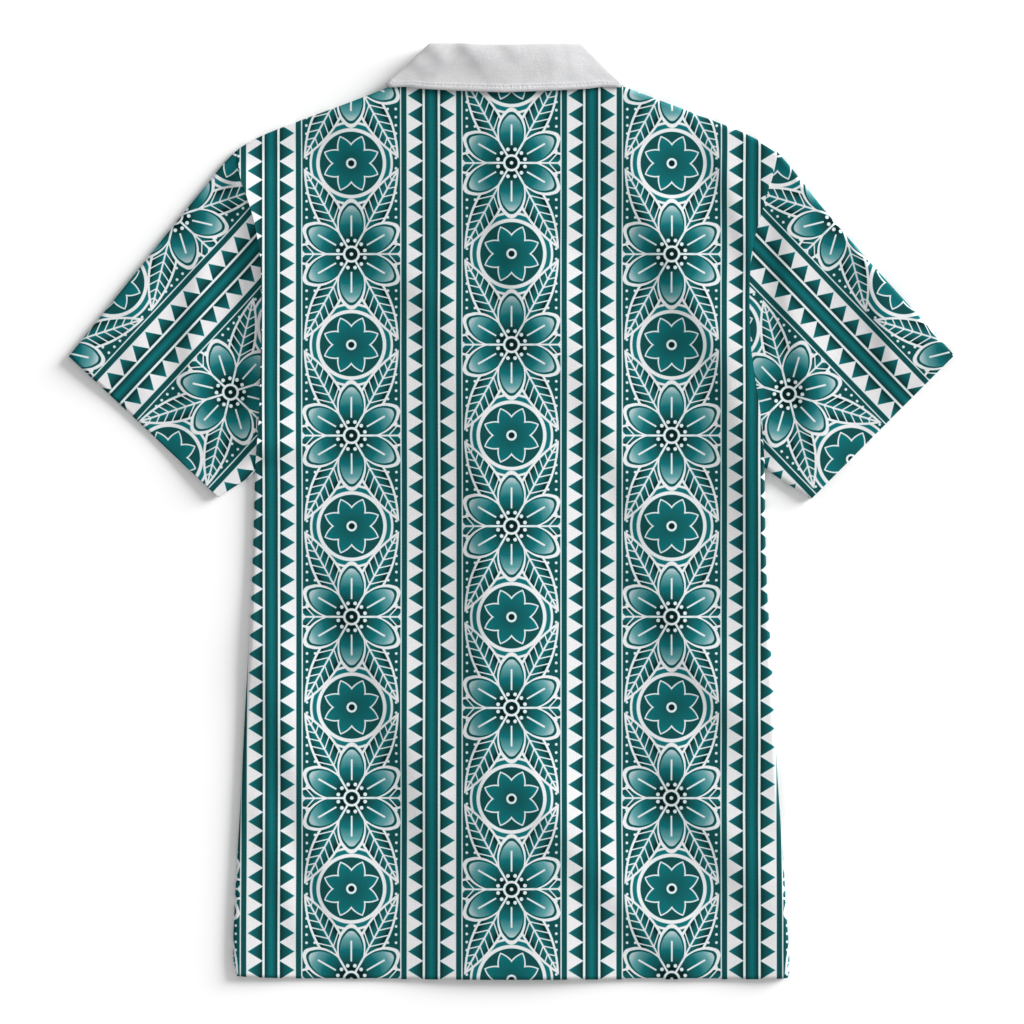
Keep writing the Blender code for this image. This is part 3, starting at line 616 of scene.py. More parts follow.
def front_plan(side):
    """Plan points of a front, from its folded side to its edge past the middle."""
    corner = SIDE_EDGES[side][0][1]
    edge_offset = -SIGN[side] * LAP_HALF_WIDTH
    hem = hem_between(corner, edge_offset)
    top_line = front_top_line(side, edge_offset)
    steps = running(np.hypot(*np.diff(top_line, axis=0).T))

    def top(share):
        reach = np.asarray(share, float) * steps[-1]
        return np.stack([np.interp(reach, steps, column) for column in top_line.T], axis=-1)

    def opening(share):
        height = hem(1.0)[1] + (NECK_LOWEST - hem(1.0)[1]) * np.asarray(share, float)
        return pairs(opening_x(height, edge_offset), height)

    across = spaced(abs(edge_offset - corner), True, False)
    across, up = np.meshgrid(across, spaced(NECK_POINT_HEIGHT, False, True))
    return patch(hem, top, lambda share: side_line(side, share), opening, across, up)


def front_sheet(side, materials, thread_look):
    """A front. The left one lies under the right."""
    plan = front_plan(side)
    height = lower_face(plan, BACK_CREASES)
    if side == "right":
        beyond = from_opening(plan) - LAP_HALF_WIDTH - RIGHT_LAP_MARGIN
        height += LAP_STEP * (1.0 - smooth(beyond / FRONT_LAP_FALL))
    points = raised(plan, height)
    cut = unrolled(points) * (-1.0, 1.0)
    name = "front_%s_cloth" % side
    piece = cloth(name, "front_" + side, points, cut, materials, flip=side == "left")
    if side == "right":
        laid(cut)
        return
    edge_row = placket_stitches(thread_look)
    laid(cut)


def reflected(plan, start, end):
    """Plan points mirrored in the line through two points."""
    start, end = np.array(start, float), np.array(end, float)
    run = (end - start) / np.linalg.norm(end - start)
    offset = plan - start
    return start + 2 * (offset @ run)[..., None] * run - offset


def turned(plan, degrees):
    angle = math.radians(degrees)
    x, y = plan[..., 0], plan[..., 1]
    across = x * math.cos(angle) - y * math.sin(angle)
    return pairs(across, x * math.sin(angle) + y * math.cos(angle))


# How far a sleeve is turned on its flat cut, and half the gap along its seam under the arm
SLEEVE_TURN = {"left": 43.0, "right": -44.0}
SLEEVE_SEAM_GAP = 0.1


def sleeve_plan(side):
    """Plan points of a sleeve from seam to cuff and from fold to fold, and how far they dip at the seam."""
    under, top = SLEEVE_UNDER_FOLDS[side], SLEEVE_TOP_FOLDS[side]
    reach, depth = math.dist(top[0], top[-1]), math.dist(top[0], under[0])
    s, w = spaced(reach, True, False), spaced(depth, True, True)
    seam = side_line(side, UNDERARM_SHARE + (1.0 - UNDERARM_SHARE) * w)
    run = np.gradient(seam, axis=0)
    outward = unit(-SIGN[side] * pairs(-run[:, 1], run[:, 0]))
    tucked = smooth(np.minimum(w, 1.0 - w) * depth / SLEEVE_TUCK_START)
    seam = seam - SLEEVE_TUCK * tucked[:, None] * outward
    low_line, high_line = along(under, s), along(top, s)
    cuff = low_line[-1] + w[:, None] * (high_line[-1] - low_line[-1])
    s, w = s[:, None, None], w[None, :, None]
    low = low_line[:, None] + (1 - s) * (seam[0] - low_line[0])
    high = high_line[:, None] + (1 - s) * (seam[-1] - high_line[0])
    straight = (1 - s) * seam[None] + s * cuff[None] + (1 - w) * low + w * high
    bend = (1 - s) * (1 - w) * seam[0] + (1 - s) * w * seam[-1]
    dip = SLEEVE_DIP * np.exp(-((s[..., 0] * reach / SLEEVE_DIP_REACH) ** 2)) * tucked[None]
    return straight - bend - s * (1 - w) * cuff[0] - s * w * cuff[-1], dip


def sleeve_sheet(side, materials):
    """A sleeve, wrapped from its seam under the arm over the fold on top and back underneath."""
    plan, dip = sleeve_plan(side)
    above = upper_face(plan, SLEEVE_CREASES[side]) - dip
    below = lower_face(plan, SLEEVE_CREASES[side]) + dip
    middle = fold_middle(plan)
    above[:, -1] = below[:, -1] = middle[:, -1]
    above[:, 0], below[:, 0] = middle[:, 0] + SLEEVE_SEAM_GAP, middle[:, 0] - SLEEVE_SEAM_GAP
    upper, lower = raised(plan, above), raised(plan, below)
    points = np.concatenate([upper, lower[:, -2::-1]], axis=1)
    fold = SLEEVE_TOP_FOLDS[side]
    cut_lower = reflected(unrolled(lower), fold[1], fold[-1])
    cut = np.concatenate([unrolled(upper), cut_lower[:, -2::-1]], axis=1)
    cut = turned(cut - fold[0], SLEEVE_TURN[side])
    name = "sleeve_%s_cloth" % side
    piece = cloth(name, "sleeve_" + side, points, cut, materials, flip=side == "right")
    laid(cut)


def collar_section(neck, roll, edge, edge_offset):
    """Plan points and offsets from the collar's middle height, up the stand, round and down."""
    crest = roll - (neck + edge) / 2.0
    crest /= np.linalg.norm(crest)
    radius = (FALL_OFFSET - STAND_OFFSET) / 2.0
    stand = np.linspace(0.0, 1.0, STAND_STEPS, endpoint=False)
    fall = np.linspace(0.0, 1.0, FALL_STEPS + 1)[1:]
    angle = np.linspace(0.0, math.pi, ROLL_STEPS + 1)
    plan = np.concatenate(
        [
            neck + stand[:, None] * (roll - neck),
            roll + np.sin(angle)[:, None] * crest * radius,
            roll + fall[:, None] * (edge - roll),
        ]
    )
    offset = np.concatenate(
        [
            np.full(STAND_STEPS, STAND_OFFSET),
            STAND_OFFSET + radius * (1.0 - np.cos(angle)),
            FALL_OFFSET + (edge_offset - FALL_OFFSET) * smooth(fall),
        ]
    )
    return plan, offset


def collar_back_section(share):
    side = "left" if share < 0 else "right"
    reach = abs(share)
    x_neck = NECK_X + share * TURN_NECK[0]
    x_roll = NECK_X + share * TURN_ROLL[side][0]
    x_edge = NECK_X + share * TURN_EDGE[side][0]
    neck = np.array((x_neck, float(back_neckline(x_neck)) + STAND_GAP))
    roll = np.array((x_roll, float(curve(BACK_ROLL_LINE, reach))))
    edge = np.array((x_edge, float(curve(BACK_EDGE_LINE, reach))))
    plan, offset = collar_section(neck, roll, edge, BACK_EDGE_OFFSET)
    return raised(plan, COLLAR_MIDDLE + offset)


def collar_turn_section(side, degrees):
    """A section at the turn at the side of the neck, from on top (0) to underneath (180)."""
    sign = SIGN[side]
    neck, roll, edge = (
        np.array((NECK_X + sign * x, height)) for x, height in (TURN_NECK, TURN_ROLL[side], TURN_EDGE[side])
    )
    run = roll - edge
    facing = np.array((sign * abs(run[1]), abs(run[0]))) / np.linalg.norm(run)
    angle = math.radians(degrees)
    edge_offset = BACK_EDGE_OFFSET + (FALL_OFFSET - BACK_EDGE_OFFSET) * float(smooth(degrees / 90.0))
    sideways = math.sin(angle) ** TURN_SQUARENESS if 0 < degrees < 180 else 0.0
    level = math.cos(angle)
    upwards = math.copysign(abs(level) ** TURN_SQUARENESS, level) if degrees != 90 else 0.0
    rise = (1.0 - sideways) * (TURN_ROLL_RISE if degrees < 90 else 0.0) - sideways * TURN_CORNER_DROP
    plan, offset = collar_section(neck, roll + (0.0, rise), edge, edge_offset)
    plan = plan + facing * (offset * sideways)[:, None]
    return raised(plan, COLLAR_MIDDLE + offset * upwards)


def collar_front_section(side, share):
    sign = SIGN[side]
    rolls = ((0.0,) + TURN_ROLL[side],) + FRONT_ROLL_LINE
    edges = ((0.0,) + TURN_EDGE[side],) + FRONT_EDGE_LINE
    across, height = front_neck(FRONT_END_ANGLE * share, STAND_GAP)
    neck = np.array((NECK_X + sign * float(across), float(height)))
    ends = []
    for line in (rolls, edges):
        x = float(curve([(row[0], row[1]) for row in line], share))
        y = float(curve([(row[0], row[2]) for row in line], share))
        ends.append(np.array((NECK_X + sign * x, y)))
    plan, offset = collar_section(neck, *ends, FALL_OFFSET)
    return raised(plan, COLLAR_MIDDLE - offset)


# How much of a fold's height is gone at the collar's free edge
CREASE_LOSS_AT_EDGE = 0.7

# Soft folds on the collar. Columns: crest line in pixels, height, reach to its left and to its right.
COLLAR_CREASES = (
    (((508, -40), (508, 60), (508, 160)), 3.4, 72.0, 76.0),
    (((535, -40), (535, 60), (535, 160)), 3.2, 60.0, 42.0),
    (((422, 10), (419, 60), (416, 120)), 2.2, 14.0, 22.0),
    (((448, -20), (444, 50), (438, 110)), 2.8, 20.0, 40.0),
    (((420, 38), (434, 52), (450, 66)), 0.9, 5.0, 8.0),
    (((404, 54), (416, 64), (432, 76)), 0.9, 5.0, 8.0),
    (((390, 66), (404, 76), (414, 88)), 0.5, 4.0, 7.0),
    (((452, 32), (472, 54), (502, 94)), 1.3, 6.0, 14.0),
    (((496, 34), (510, 50), (524, 66)), 0.5, 5.0, 9.0),
    (((546, 30), (552, 60), (556, 100)), 0.35, 5.0, 9.0),
    (((564, 30), (572, 60), (580, 100)), 0.35, 5.0, 9.0),
)


def collar_grid():
    """The collar's middle surface: a row for each section, from the left front round to the right."""
    front = np.linspace(0.0, 1.0, FRONT_STEPS + 1)[1:]
    turn = np.linspace(0.0, 180.0, TURN_STEPS + 1)
    back = np.linspace(-1.0, 1.0, 2 * BACK_STEPS + 1)[1:-1]
    sections = [collar_front_section("left", share) for share in front[::-1]]
    sections += [collar_turn_section("left", degrees) for degrees in turn[::-1]]
    sections += [collar_back_section(share) for share in back]
    sections += [collar_turn_section("right", degrees) for degrees in turn]
    sections += [collar_front_section("right", share) for share in front]
    points = np.array(sections)
    stand, fall = np.arange(STAND_STEPS) / STAND_STEPS, np.arange(1, FALL_STEPS + 1) / FALL_STEPS
    free = np.concatenate([smooth(stand), np.ones(ROLL_STEPS + 1), 1.0 - CREASE_LOSS_AT_EDGE * smooth(fall)])
    on_top = smooth((points[..., 2] - COLLAR_MIDDLE) / STAND_OFFSET)
    points[..., 2] += free * on_top * creased(points[..., :2], COLLAR_CREASES)
    return points


def strip_lengths(points):
    """Distances along the strip's middle, across it, and from its free edge, for each point of the collar."""
    along_strip = np.linalg.norm(np.diff(points, axis=0), axis=-1).mean(axis=1)
    across = np.linalg.norm(np.diff(points, axis=1), axis=-1)
    u = running(along_strip)
    v = np.concatenate([np.zeros((len(points), 1)), np.cumsum(across, axis=1)], axis=1)
    return np.stack([np.repeat(u[:, None], points.shape[1], axis=1), v, v[:, -1:] - v], axis=-1)


# Stitches. The inset is the collar topstitch's distance from the free edge.
STITCH_INSET = 4.7
STITCH_PITCH = 3.3
STITCH_LENGTH = 2.5
STITCH_RADIUS = 0.2
STITCH_SIDES = 6

# A stitch from end to end. Columns: place as a share of half its length, thickness as a share of its radius.
STITCH_SHAPE = ((-1.0, 0.35), (-0.65, 0.85), (0.0, 1.0), (0.65, 0.85), (1.0, 0.35))


def stitches(name, centres, directions, normals, material, length=STITCH_LENGTH, radius=STITCH_RADIUS):
    """One mesh of short rounded stitches, half sunk into the cloth, each with its own place and direction."""
    directions = unit(directions)
    sideways = np.cross(normals, directions)
    rings = len(STITCH_SHAPE)
    verts = []
    for place, thick in STITCH_SHAPE:
        middle = centres + directions * (place * length / 2.0) - normals * (radius * (1.0 - thick))
        for step in range(STITCH_SIDES):
            angle = FULL_TURN * step / STITCH_SIDES
            spoke = sideways * math.cos(angle) + normals * math.sin(angle)
            verts.append(middle + spoke * radius * thick)
    verts = np.stack(verts, axis=1)
    faces = [tuple(range(STITCH_SIDES))[::-1], tuple(range((rings - 1) * STITCH_SIDES, rings * STITCH_SIDES))]
    for ring in range(rings - 1):
        for step in range(STITCH_SIDES):
            low, high = ring * STITCH_SIDES, (ring + 1) * STITCH_SIDES
            after = (step + 1) % STITCH_SIDES
            faces.append((low + step, low + after, high + after, high + step))
    count = rings * STITCH_SIDES
    every = [
        tuple(corner + count * stitch for corner in face) for stitch in range(len(centres)) for face in faces
    ]
    mesh = bpy.data.meshes.new(name)
    mesh.from_pydata(in_frame(verts).reshape(-1, 3), [], every)
    return add_piece(name, mesh, [material])


def facing_down(count):
    return np.tile((0.0, 0.0, -1.0), (count, 1))


def stitched_along(name, line, normals, material):
    """A row of stitches along a line of points, each with the cloth's normal."""
    travel = running(np.linalg.norm(np.diff(line, axis=0), axis=1))
    places = np.arange(STITCH_PITCH, travel[-1] - STITCH_PITCH / 2.0, STITCH_PITCH)

    def at(where, values):
        return np.stack([np.interp(where, travel, column) for column in values.T], axis=-1)

    centres = at(places, line)
    directions = at(places + STITCH_LENGTH / 2.0, line) - at(places - STITCH_LENGTH / 2.0, line)
    return stitches(name, centres, directions, unit(at(places, normals)), material)


def collar_sheet(materials, thread_look):
    points = collar_grid()
    cut = strip_lengths(points)
    piece = cloth(
        "collar_cloth_piece", "collar", points, cut, materials, wall=COLLAR_SHELL, offset=0.0
    )
    run, fall = np.gradient(points, axis=0), np.gradient(points, axis=1)
    outward = unit(np.cross(fall, run))
    line, facing = [], []
    for row in range(len(points)):
        inset = cut[row, ::-1, 2]
        line.append([np.interp(STITCH_INSET, inset, column) for column in points[row, ::-1].T])
        facing.append([np.interp(STITCH_INSET, inset, column) for column in outward[row, ::-1].T])
    line, facing = np.array(line), np.array(facing)
    line += facing * COLLAR_SHELL / 2.0
    row = stitched_along("collar_topstitch", line, facing, thread_look)
    laid(cut)


# Stitched turning down the left front: offset from the middle line, distance from hem and neck, steps
PLACKET_STITCH_OFFSET = -16.0
PLACKET_FROM_HEM = 4.0
PLACKET_FROM_NECK = 3.0
PLACKET_STEP = 3.0

BUTTONHOLE_LENGTH = 15.0
BUTTONHOLE_HALF_WIDTH = 0.9
BUTTONHOLE_PITCH = 0.55
BUTTONHOLE_STITCH = 1.3
ROUNDING = 0.01


def placket_stitches(material):
    """The stitched turning down the left front's edge, on its outer face, which looks down."""
    height = np.arange(PLACKET_FROM_HEM, NECK_LOWEST - PLACKET_FROM_NECK, PLACKET_STEP)
    plan = pairs(opening_x(height, PLACKET_STITCH_OFFSET), height)
    line = raised(plan, lower_face(plan, BACK_CREASES))
    return stitched_along("placket_stitches", line, facing_down(len(line)), material)


def buttonhole(number, material):
    """Close stitches round a slit along the opening, behind its button."""
    middle = BUTTON_HEIGHTS[number - 1]
    half = BUTTONHOLE_LENGTH / 2.0
    level = np.arange(-half, half + ROUNDING, BUTTONHOLE_PITCH)
    bar = np.arange(-BUTTONHOLE_HALF_WIDTH, BUTTONHOLE_HALF_WIDTH + ROUNDING, BUTTONHOLE_PITCH)
    places = [(side * BUTTONHOLE_HALF_WIDTH, step, 1.0, 0.0) for step in level for side in (-1, 1)]
    places += [(step, side * half, 0.0, 1.0) for step in bar for side in (-1, 1)]
    places = np.array(places)
    plan = pairs(opening_x(middle, 0.0) + places[:, 0], middle + places[:, 1])
    centres = raised(plan, lower_face(plan, BACK_CREASES))
    directions = np.concatenate([places[:, 2:], np.zeros((len(places), 1))], axis=1)
    name, down = "buttonhole_%d" % number, facing_down(len(places))
    stitches(name, centres, directions, down, material, length=BUTTONHOLE_STITCH)


BUTTON_SIDES = 56
BUTTON_SHARP_ANGLE = 50.0
HOLE_SPREAD = 1.35
HOLE_RADIUS = 0.75
HOLE_SIDES = 20
DRILL_OUTLINE = ((0.0, -1.0), (HOLE_RADIUS, -1.0), (HOLE_RADIUS, 4.0), (0.0, 4.0))

# Three strands of thread over each pair of holes: their steps apart, radius, height and overhang
STRAND_STEPS = (-0.3, 0.0, 0.3)
STRAND_RADIUS = 0.22
STRAND_HEIGHT = 0.55
STRAND_OVERHANG = 0.9

# Half a button's outline. Columns: radius, height above its lowest point.
BUTTON_OUTLINE = (
    (0.0, 0.62), (2.6, 0.6), (3.4, 0.5), (3.9, 0.28), (4.3, 0.08), (4.75, 0.0), (5.2, 0.06),
    (5.55, 0.25), (5.72, 0.55), (5.75, 0.95), (5.66, 1.4), (5.4, 1.75), (4.9, 1.95), (4.2, 2.0),
    (0.0, 2.0),
)

# The thread between button and cloth. Columns: radius, height above the button's lowest point.
SHANK_OUTLINE = ((0.0, 1.9), (1.3, 1.9), (1.1, 2.2), (1.3, 2.7), (0.0, 2.7))
SHANK_SIDES = 16


def lathed(name, outline, sides):
    """A closed mesh turned round its own middle."""
    mesh = bpy.data.meshes.new(name)
    shape = bmesh.new()
    line = [shape.verts.new((METRES * r, 0.0, METRES * z)) for r, z in outline]
    edges = [shape.edges.new(pair) for pair in zip(line[:-1], line[1:])]
    bmesh.ops.spin(shape, geom=line + edges, cent=(0, 0, 0), axis=(0, 0, 1), angle=FULL_TURN, steps=sides)
    bmesh.ops.remove_doubles(shape, verts=shape.verts[:], dist=TINY)
    bmesh.ops.recalc_face_normals(shape, faces=shape.faces[:])
    shape.to_mesh(mesh)
    shape.free()
    return mesh


def drilled_button_mesh():
    """One button with four holes through it."""
    blank = placed("button_blank", lathed("button_blank", BUTTON_OUTLINE, BUTTON_SIDES))
    drills = []
    for across, up in ((-1, -1), (1, -1), (-1, 1), (1, 1)):
        drill = placed("drill", lathed("drill", DRILL_OUTLINE, HOLE_SIDES))
        drill.location = (METRES * HOLE_SPREAD * across, METRES * HOLE_SPREAD * up, 0.0)
        hole = blank.modifiers.new("hole", "BOOLEAN")
        hole.operation = "DIFFERENCE"
        hole.solver = "EXACT"
        hole.object = drill
        drills.append(drill)
    bpy.context.view_layer.update()
    mesh = bpy.data.meshes.new_from_object(blank.evaluated_get(bpy.context.evaluated_depsgraph_get()))
    for thing in [blank] + drills:
        bpy.data.objects.remove(thing)
    return mesh


def button(number, mesh, shell, thread_look):
    """A button with its thread, in place of its CAD node."""
    height = BUTTON_HEIGHTS[number - 1]
    x = opening_x(height, 0.0)
    place = Matrix.Translation(in_frame((x, height, BUTTON_BOTTOM)))
    own = mesh.copy()
    own.transform(place)
    piece = add_piece("shirt_button_%d" % number, own, [shell])
    own.set_sharp_from_angle(angle=math.radians(BUTTON_SHARP_ANGLE))
    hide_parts("button_%d" % number)
    across = [side * HOLE_SPREAD + step for side in (-1, 1) for step in STRAND_STEPS]
    centres = np.array([(x + offset, height, BUTTON_BOTTOM + STRAND_HEIGHT) for offset in across])
    directions = np.tile((0.0, 1.0, 0.0), (len(centres), 1))
    stitches(
        "button_thread_%d" % number,
        centres,
        directions,
        facing_down(len(centres)),
        thread_look,
        length=2.0 * HOLE_SPREAD + STRAND_OVERHANG,
        radius=STRAND_RADIUS,
    )
    shank = lathed("button_shank_%d" % number, SHANK_OUTLINE, SHANK_SIDES)
    shank.transform(place)
    add_piece("button_shank_%d" % number, shank, [thread_look])


class Wire:
    """A number carried by a shader node, which sums and products can be written with."""

    def __init__(self, socket):
        self.socket = socket
        self.tree = socket.id_data

    def math(self, operation, *others, clamp=False):
        node = self.tree.nodes.new("ShaderNodeMath")
        node.operation = operation
        node.use_clamp = clamp
        return Wire(feed(node, dict(enumerate((self,) + others))).outputs[0])

    def times_plus(self, factor, extra, clamp=False):
        return self.math("MULTIPLY_ADD", factor, extra, clamp=clamp)

    def __add__(self, other):
        return self.math("ADD", other)

    def __sub__(self, other):
        return self.math("SUBTRACT", other)

    def __rsub__(self, other):
        return self.times_plus(-1.0, other)

    def __mul__(self, other):
        return self.math("MULTIPLY", other)


def feed(node, inputs):
    """Sets a node's inputs, each to a plain value or linked to a wire or a socket."""
    for key, value in inputs.items():
        source = value.socket if isinstance(value, Wire) else value
        if isinstance(source, bpy.types.NodeSocket):
            node.id_data.links.new(source, node.inputs[key])
        else:
            node.inputs[key].default_value = source
    return node


def sine(value):
    return value.math("SINE")


def size_of(value):
    return value.math("ABSOLUTE")


def whole_of(value):
    return value.math("FLOOR")


def part_of(value):
    return value.math("FRACT")


def bearing(x, y):
    """Direction of a place, in turns from -0.5 to 0.5."""
    return y.math("ARCTAN2", x) * (1.0 / FULL_TURN)


def reach_of(x, y):
    return (x * x + y * y).math("SQRT")


def turned_axes(x, y, degrees):
    angle = math.radians(degrees)
    across = x.times_plus(math.cos(angle), y * math.sin(angle))
    return across, y.times_plus(math.cos(angle), x * -math.sin(angle))


def centred(place, spacing):
    """A place measured from the middle of its own repeat."""
    return part_of(place * (1.0 / spacing)).times_plus(spacing, -spacing / 2.0)


def inside(distance):
    """1 where this distance outside a shape's edge is below zero, 0 where above, soft at the edge."""
    return distance.times_plus(-0.5 / PRINT_EDGE, 0.5, clamp=True)


def over(base, value, mask):
    return (value - base).times_plus(mask, base)


def rising(value, low, high):
    return value.times_plus(1.0 / (high - low), -low / (high - low), clamp=True)


def discs(tone, away_from, rings):
    """Discs, each over the last. Columns: radius, tone."""
    for radius, ink in rings:
        tone = over(tone, ink, inside(away_from - radius))
    return tone


def outlined(share, table):
    """Reach of a petal's outline at a share of the way across the petal."""
    node = share.tree.nodes.new("ShaderNodeFloatCurve")
    points = node.mapping.curves[0].points
    for row, (place, value) in enumerate(table):
        point = points[row] if row < 2 else points.new(place, value)
        point.location = (place, value)
    node.mapping.update()
    return Wire(feed(node, {"Value": share}).outputs[0])


# The print: one tone from bare cloth (0) to the deepest ink (1)
BARE, MIDDLE_INK, DARK_INK, DEEP_INK = 0.0, 0.58, 0.85, 1.0
INKS = (
    (BARE, (0.68, 0.68, 0.69)),
    (0.3, (0.1, 0.29, 0.305)),
    (MIDDLE_INK, (0.003, 0.128, 0.139)),
    (DARK_INK, (0.005, 0.062, 0.063)),
    (DEEP_INK, (0.002, 0.012, 0.012)),
)

# The same inks seen through the cloth, on its reverse
SHOWN_THROUGH = 0.42
REVERSE_PALE = 0.36
REVERSE_INKS = tuple(
    (tone, tuple(SHOWN_THROUGH * ink + REVERSE_PALE for ink in color)) for tone, color in INKS
)

# How far an edge of the print fades, and the repeats of the whole print
PRINT_EDGE = 0.35
BAND_SPACING = 138.0
MOTIF_SPACING = 156.0
HALF_DROP = 0.5
DOT_SPACING = 7.0
DOT_RADIUS = 1.25

# Borders, by distance from their middle: white ground, line, teeth and stripe
BAND_HALF_WIDTH = 27.0
BAND_LINE, BAND_LINE_HALF_WIDTH = 23.6, 2.2
TOOTH_WIDTH = 16.0
TOOTH_FOOT, TOOTH_TIP, TOOTH_HEIGHT = 7.6, 20.0, 13.0
TOOTH_SOFTNESS = 0.55
TOOTH_SHADING = (7.0, 19.0)
STRIPE_HALF_WIDTH, STRIPE_CORE = 5.4, 0.4

# Leaves round each flower, the same in all four quarters. Columns: turn, length, width.
LEAVES = ((29.0, 80.0, 19.0), (90.0, 58.0, 17.0))
LEAF_MARGIN = 2.2
LEAF_SHADING = 0.45
MIDRIB_HALF_WIDTH = 0.8
VEIN_SPACING, VEIN_SLANT, VEIN_HALF_WIDTH = 8.0, 0.9, 0.75

# Rosette, with a white margin beside its petals and beyond their tips
ROSETTE_PETALS = 8
ROSETTE_RADIUS = 24.0
ROSETTE_FULLNESS = 1.04
ROSETTE_MARGIN, ROSETTE_TIP_MARGIN = 1.7, 1.5
ROSETTE_FADE = 0.3
ROSETTE_HEART = ((4.6, BARE), (2.6, DEEP_INK))

# Disc under the rosette: its white ground, the ring round it and its dark middle
DISC_RADIUS = 36.0
RING_RADIUS, RING_HALF_WIDTH = 32.0, 1.8
DISC_MIDDLE = 27.0

# Flower. One petal's outline, columns: share of the way across the petal, share of the flower's radius.
PETAL_EDGE = (
    (0.0, 0.42), (0.1, 0.6), (0.22, 0.77), (0.36, 0.92), (0.5, 1.0), (0.64, 0.92), (0.78, 0.77),
    (0.9, 0.6), (1.0, 0.42),
)
FLOWER_PETALS = 6
FLOWER_RADIUS = 44.0
FLOWER_SLOPE = 0.8
FLOWER_MARGIN, FLOWER_RIM = 3.0, 1.8
PETAL_SHADING = (0.25, 0.95)
PETAL_TIP_INK = 0.12
PETAL_GAP = 1.0
PETAL_LINE_HALF_WIDTH, PETAL_LINE_MIDDLE, PETAL_LINE_REACH = 0.8, 0.55, 9.0
RING_DOT_PLACE, RING_DOT_RADIUS = 12.0, 1.7
FLOWER_HEART = ((7.4, BARE), (5.2, DEEP_INK), (1.6, BARE))


def leaf(tone, x, y, length, width):
    """A pointed leaf along +x, with a white outline, midrib and side veins."""
    share = x * (1.0 / length)
    half = share * (1.0 - share) * (2.0 * width)
    side = size_of(y)
    outside = side - half
    tone = over(tone, BARE, inside(outside - LEAF_MARGIN))
    shade = rising(side, 0.0, width * LEAF_SHADING).times_plus(DEEP_INK - MIDDLE_INK, MIDDLE_INK)
    slanted = part_of(side.times_plus(-VEIN_SLANT, x) * (1.0 / VEIN_SPACING))
    vein = size_of(slanted - 0.5).times_plus(VEIN_SPACING, VEIN_HALF_WIDTH - VEIN_SPACING / 2.0)
    return over(tone, shade, inside(outside) * inside(MIDRIB_HALF_WIDTH - side) * inside(vein))


def rosette(tone, x, y):
    """A star of pointed petals round a dot."""
    away_from = reach_of(x, y)
    place = size_of(part_of(bearing(x, y) * ROSETTE_PETALS) - 0.5)
    across = place * away_from * (FULL_TURN / ROSETTE_PETALS)
    share = away_from * (1.0 / ROSETTE_RADIUS)
    outside = across - share * (1.0 - share) * (ROSETTE_RADIUS * ROSETTE_FULLNESS)
    beyond = away_from - ROSETTE_RADIUS
    tone = over(tone, BARE, inside(outside - ROSETTE_MARGIN) * inside(beyond - ROSETTE_TIP_MARGIN))
    tone = over(tone, share.times_plus(-ROSETTE_FADE, DARK_INK), inside(outside) * inside(beyond))
    return discs(tone, away_from, ROSETTE_HEART)


def flower(tone, x, y):
    """A star-shaped flower, its petals deep at the heart and pale at the tip, with a ring of dots."""
    away_from, turn = reach_of(x, y), bearing(x, y)
    place = part_of(turn.times_plus(FLOWER_PETALS, 0.5))
    share = away_from * (1.0 / FLOWER_RADIUS)
    outside = (share - outlined(place, PETAL_EDGE)) * (FLOWER_SLOPE * FLOWER_RADIUS)
    tone = over(tone, BARE, inside(outside - FLOWER_MARGIN))
    tone = over(tone, DARK_INK, inside(outside))
    shade = rising(share, *PETAL_SHADING).times_plus(PETAL_TIP_INK - DEEP_INK, DEEP_INK)
    tone = over(tone, shade, inside(outside + FLOWER_RIM))
    side = size_of(place - 0.5)
    width = away_from * (FULL_TURN / FLOWER_PETALS)
    tone = over(tone, BARE, inside((0.5 - side) * width - PETAL_GAP) * inside(outside))
    line_end = size_of(share - PETAL_LINE_MIDDLE) * FLOWER_RADIUS - PETAL_LINE_REACH
    tone = over(tone, BARE, inside(side * width - PETAL_LINE_HALF_WIDTH) * inside(line_end))
    between = size_of(part_of(turn * (2.0 * FLOWER_PETALS)) - 0.5)
    across = between * away_from * (math.pi / FLOWER_PETALS)
    tone = over(tone, BARE, inside(reach_of(across, away_from - RING_DOT_PLACE) - RING_DOT_RADIUS))
    return discs(tone, away_from, FLOWER_HEART)


def medallion(tone, x, y):
    """A rosette on a dark disc with a ring round it."""
    away_from = reach_of(x, y)
    tone = over(tone, BARE, inside(away_from - DISC_RADIUS))
    tone = over(tone, MIDDLE_INK, inside(size_of(away_from - RING_RADIUS) - RING_HALF_WIDTH))
    tone = over(tone, DARK_INK, inside(away_from - DISC_MIDDLE))
    return rosette(tone, x, y)


def dotted_ground(x, y):
    """Even rows of pale dots on dark ink, behind everything else."""
    return inside(DOT_RADIUS - reach_of(centred(x, DOT_SPACING), centred(y, DOT_SPACING))) * DARK_INK


def borders(tone, along_band, far):
    """Straight bands: a shaded stripe with a row of teeth on each side, between two lines."""
    tone = over(tone, BARE, inside(far - BAND_HALF_WIDTH))
    tone = over(tone, DARK_INK, inside(size_of(far - BAND_LINE) - BAND_LINE_HALF_WIDTH))
    tooth = size_of(part_of(along_band * (1.0 / TOOTH_WIDTH)) - 0.5) * 2.0
    outside = tooth.times_plus(TOOTH_HEIGHT, far - TOOTH_TIP) * TOOTH_SOFTNESS
    shade = rising(far, *TOOTH_SHADING).times_plus(MIDDLE_INK - DEEP_INK, DEEP_INK)
    tone = over(tone, shade, inside(outside) * inside(TOOTH_FOOT - far))
    shade = rising(far, STRIPE_CORE, STRIPE_HALF_WIDTH).times_plus(DEEP_INK - MIDDLE_INK, MIDDLE_INK)
    return over(tone, shade, inside(far - STRIPE_HALF_WIDTH))


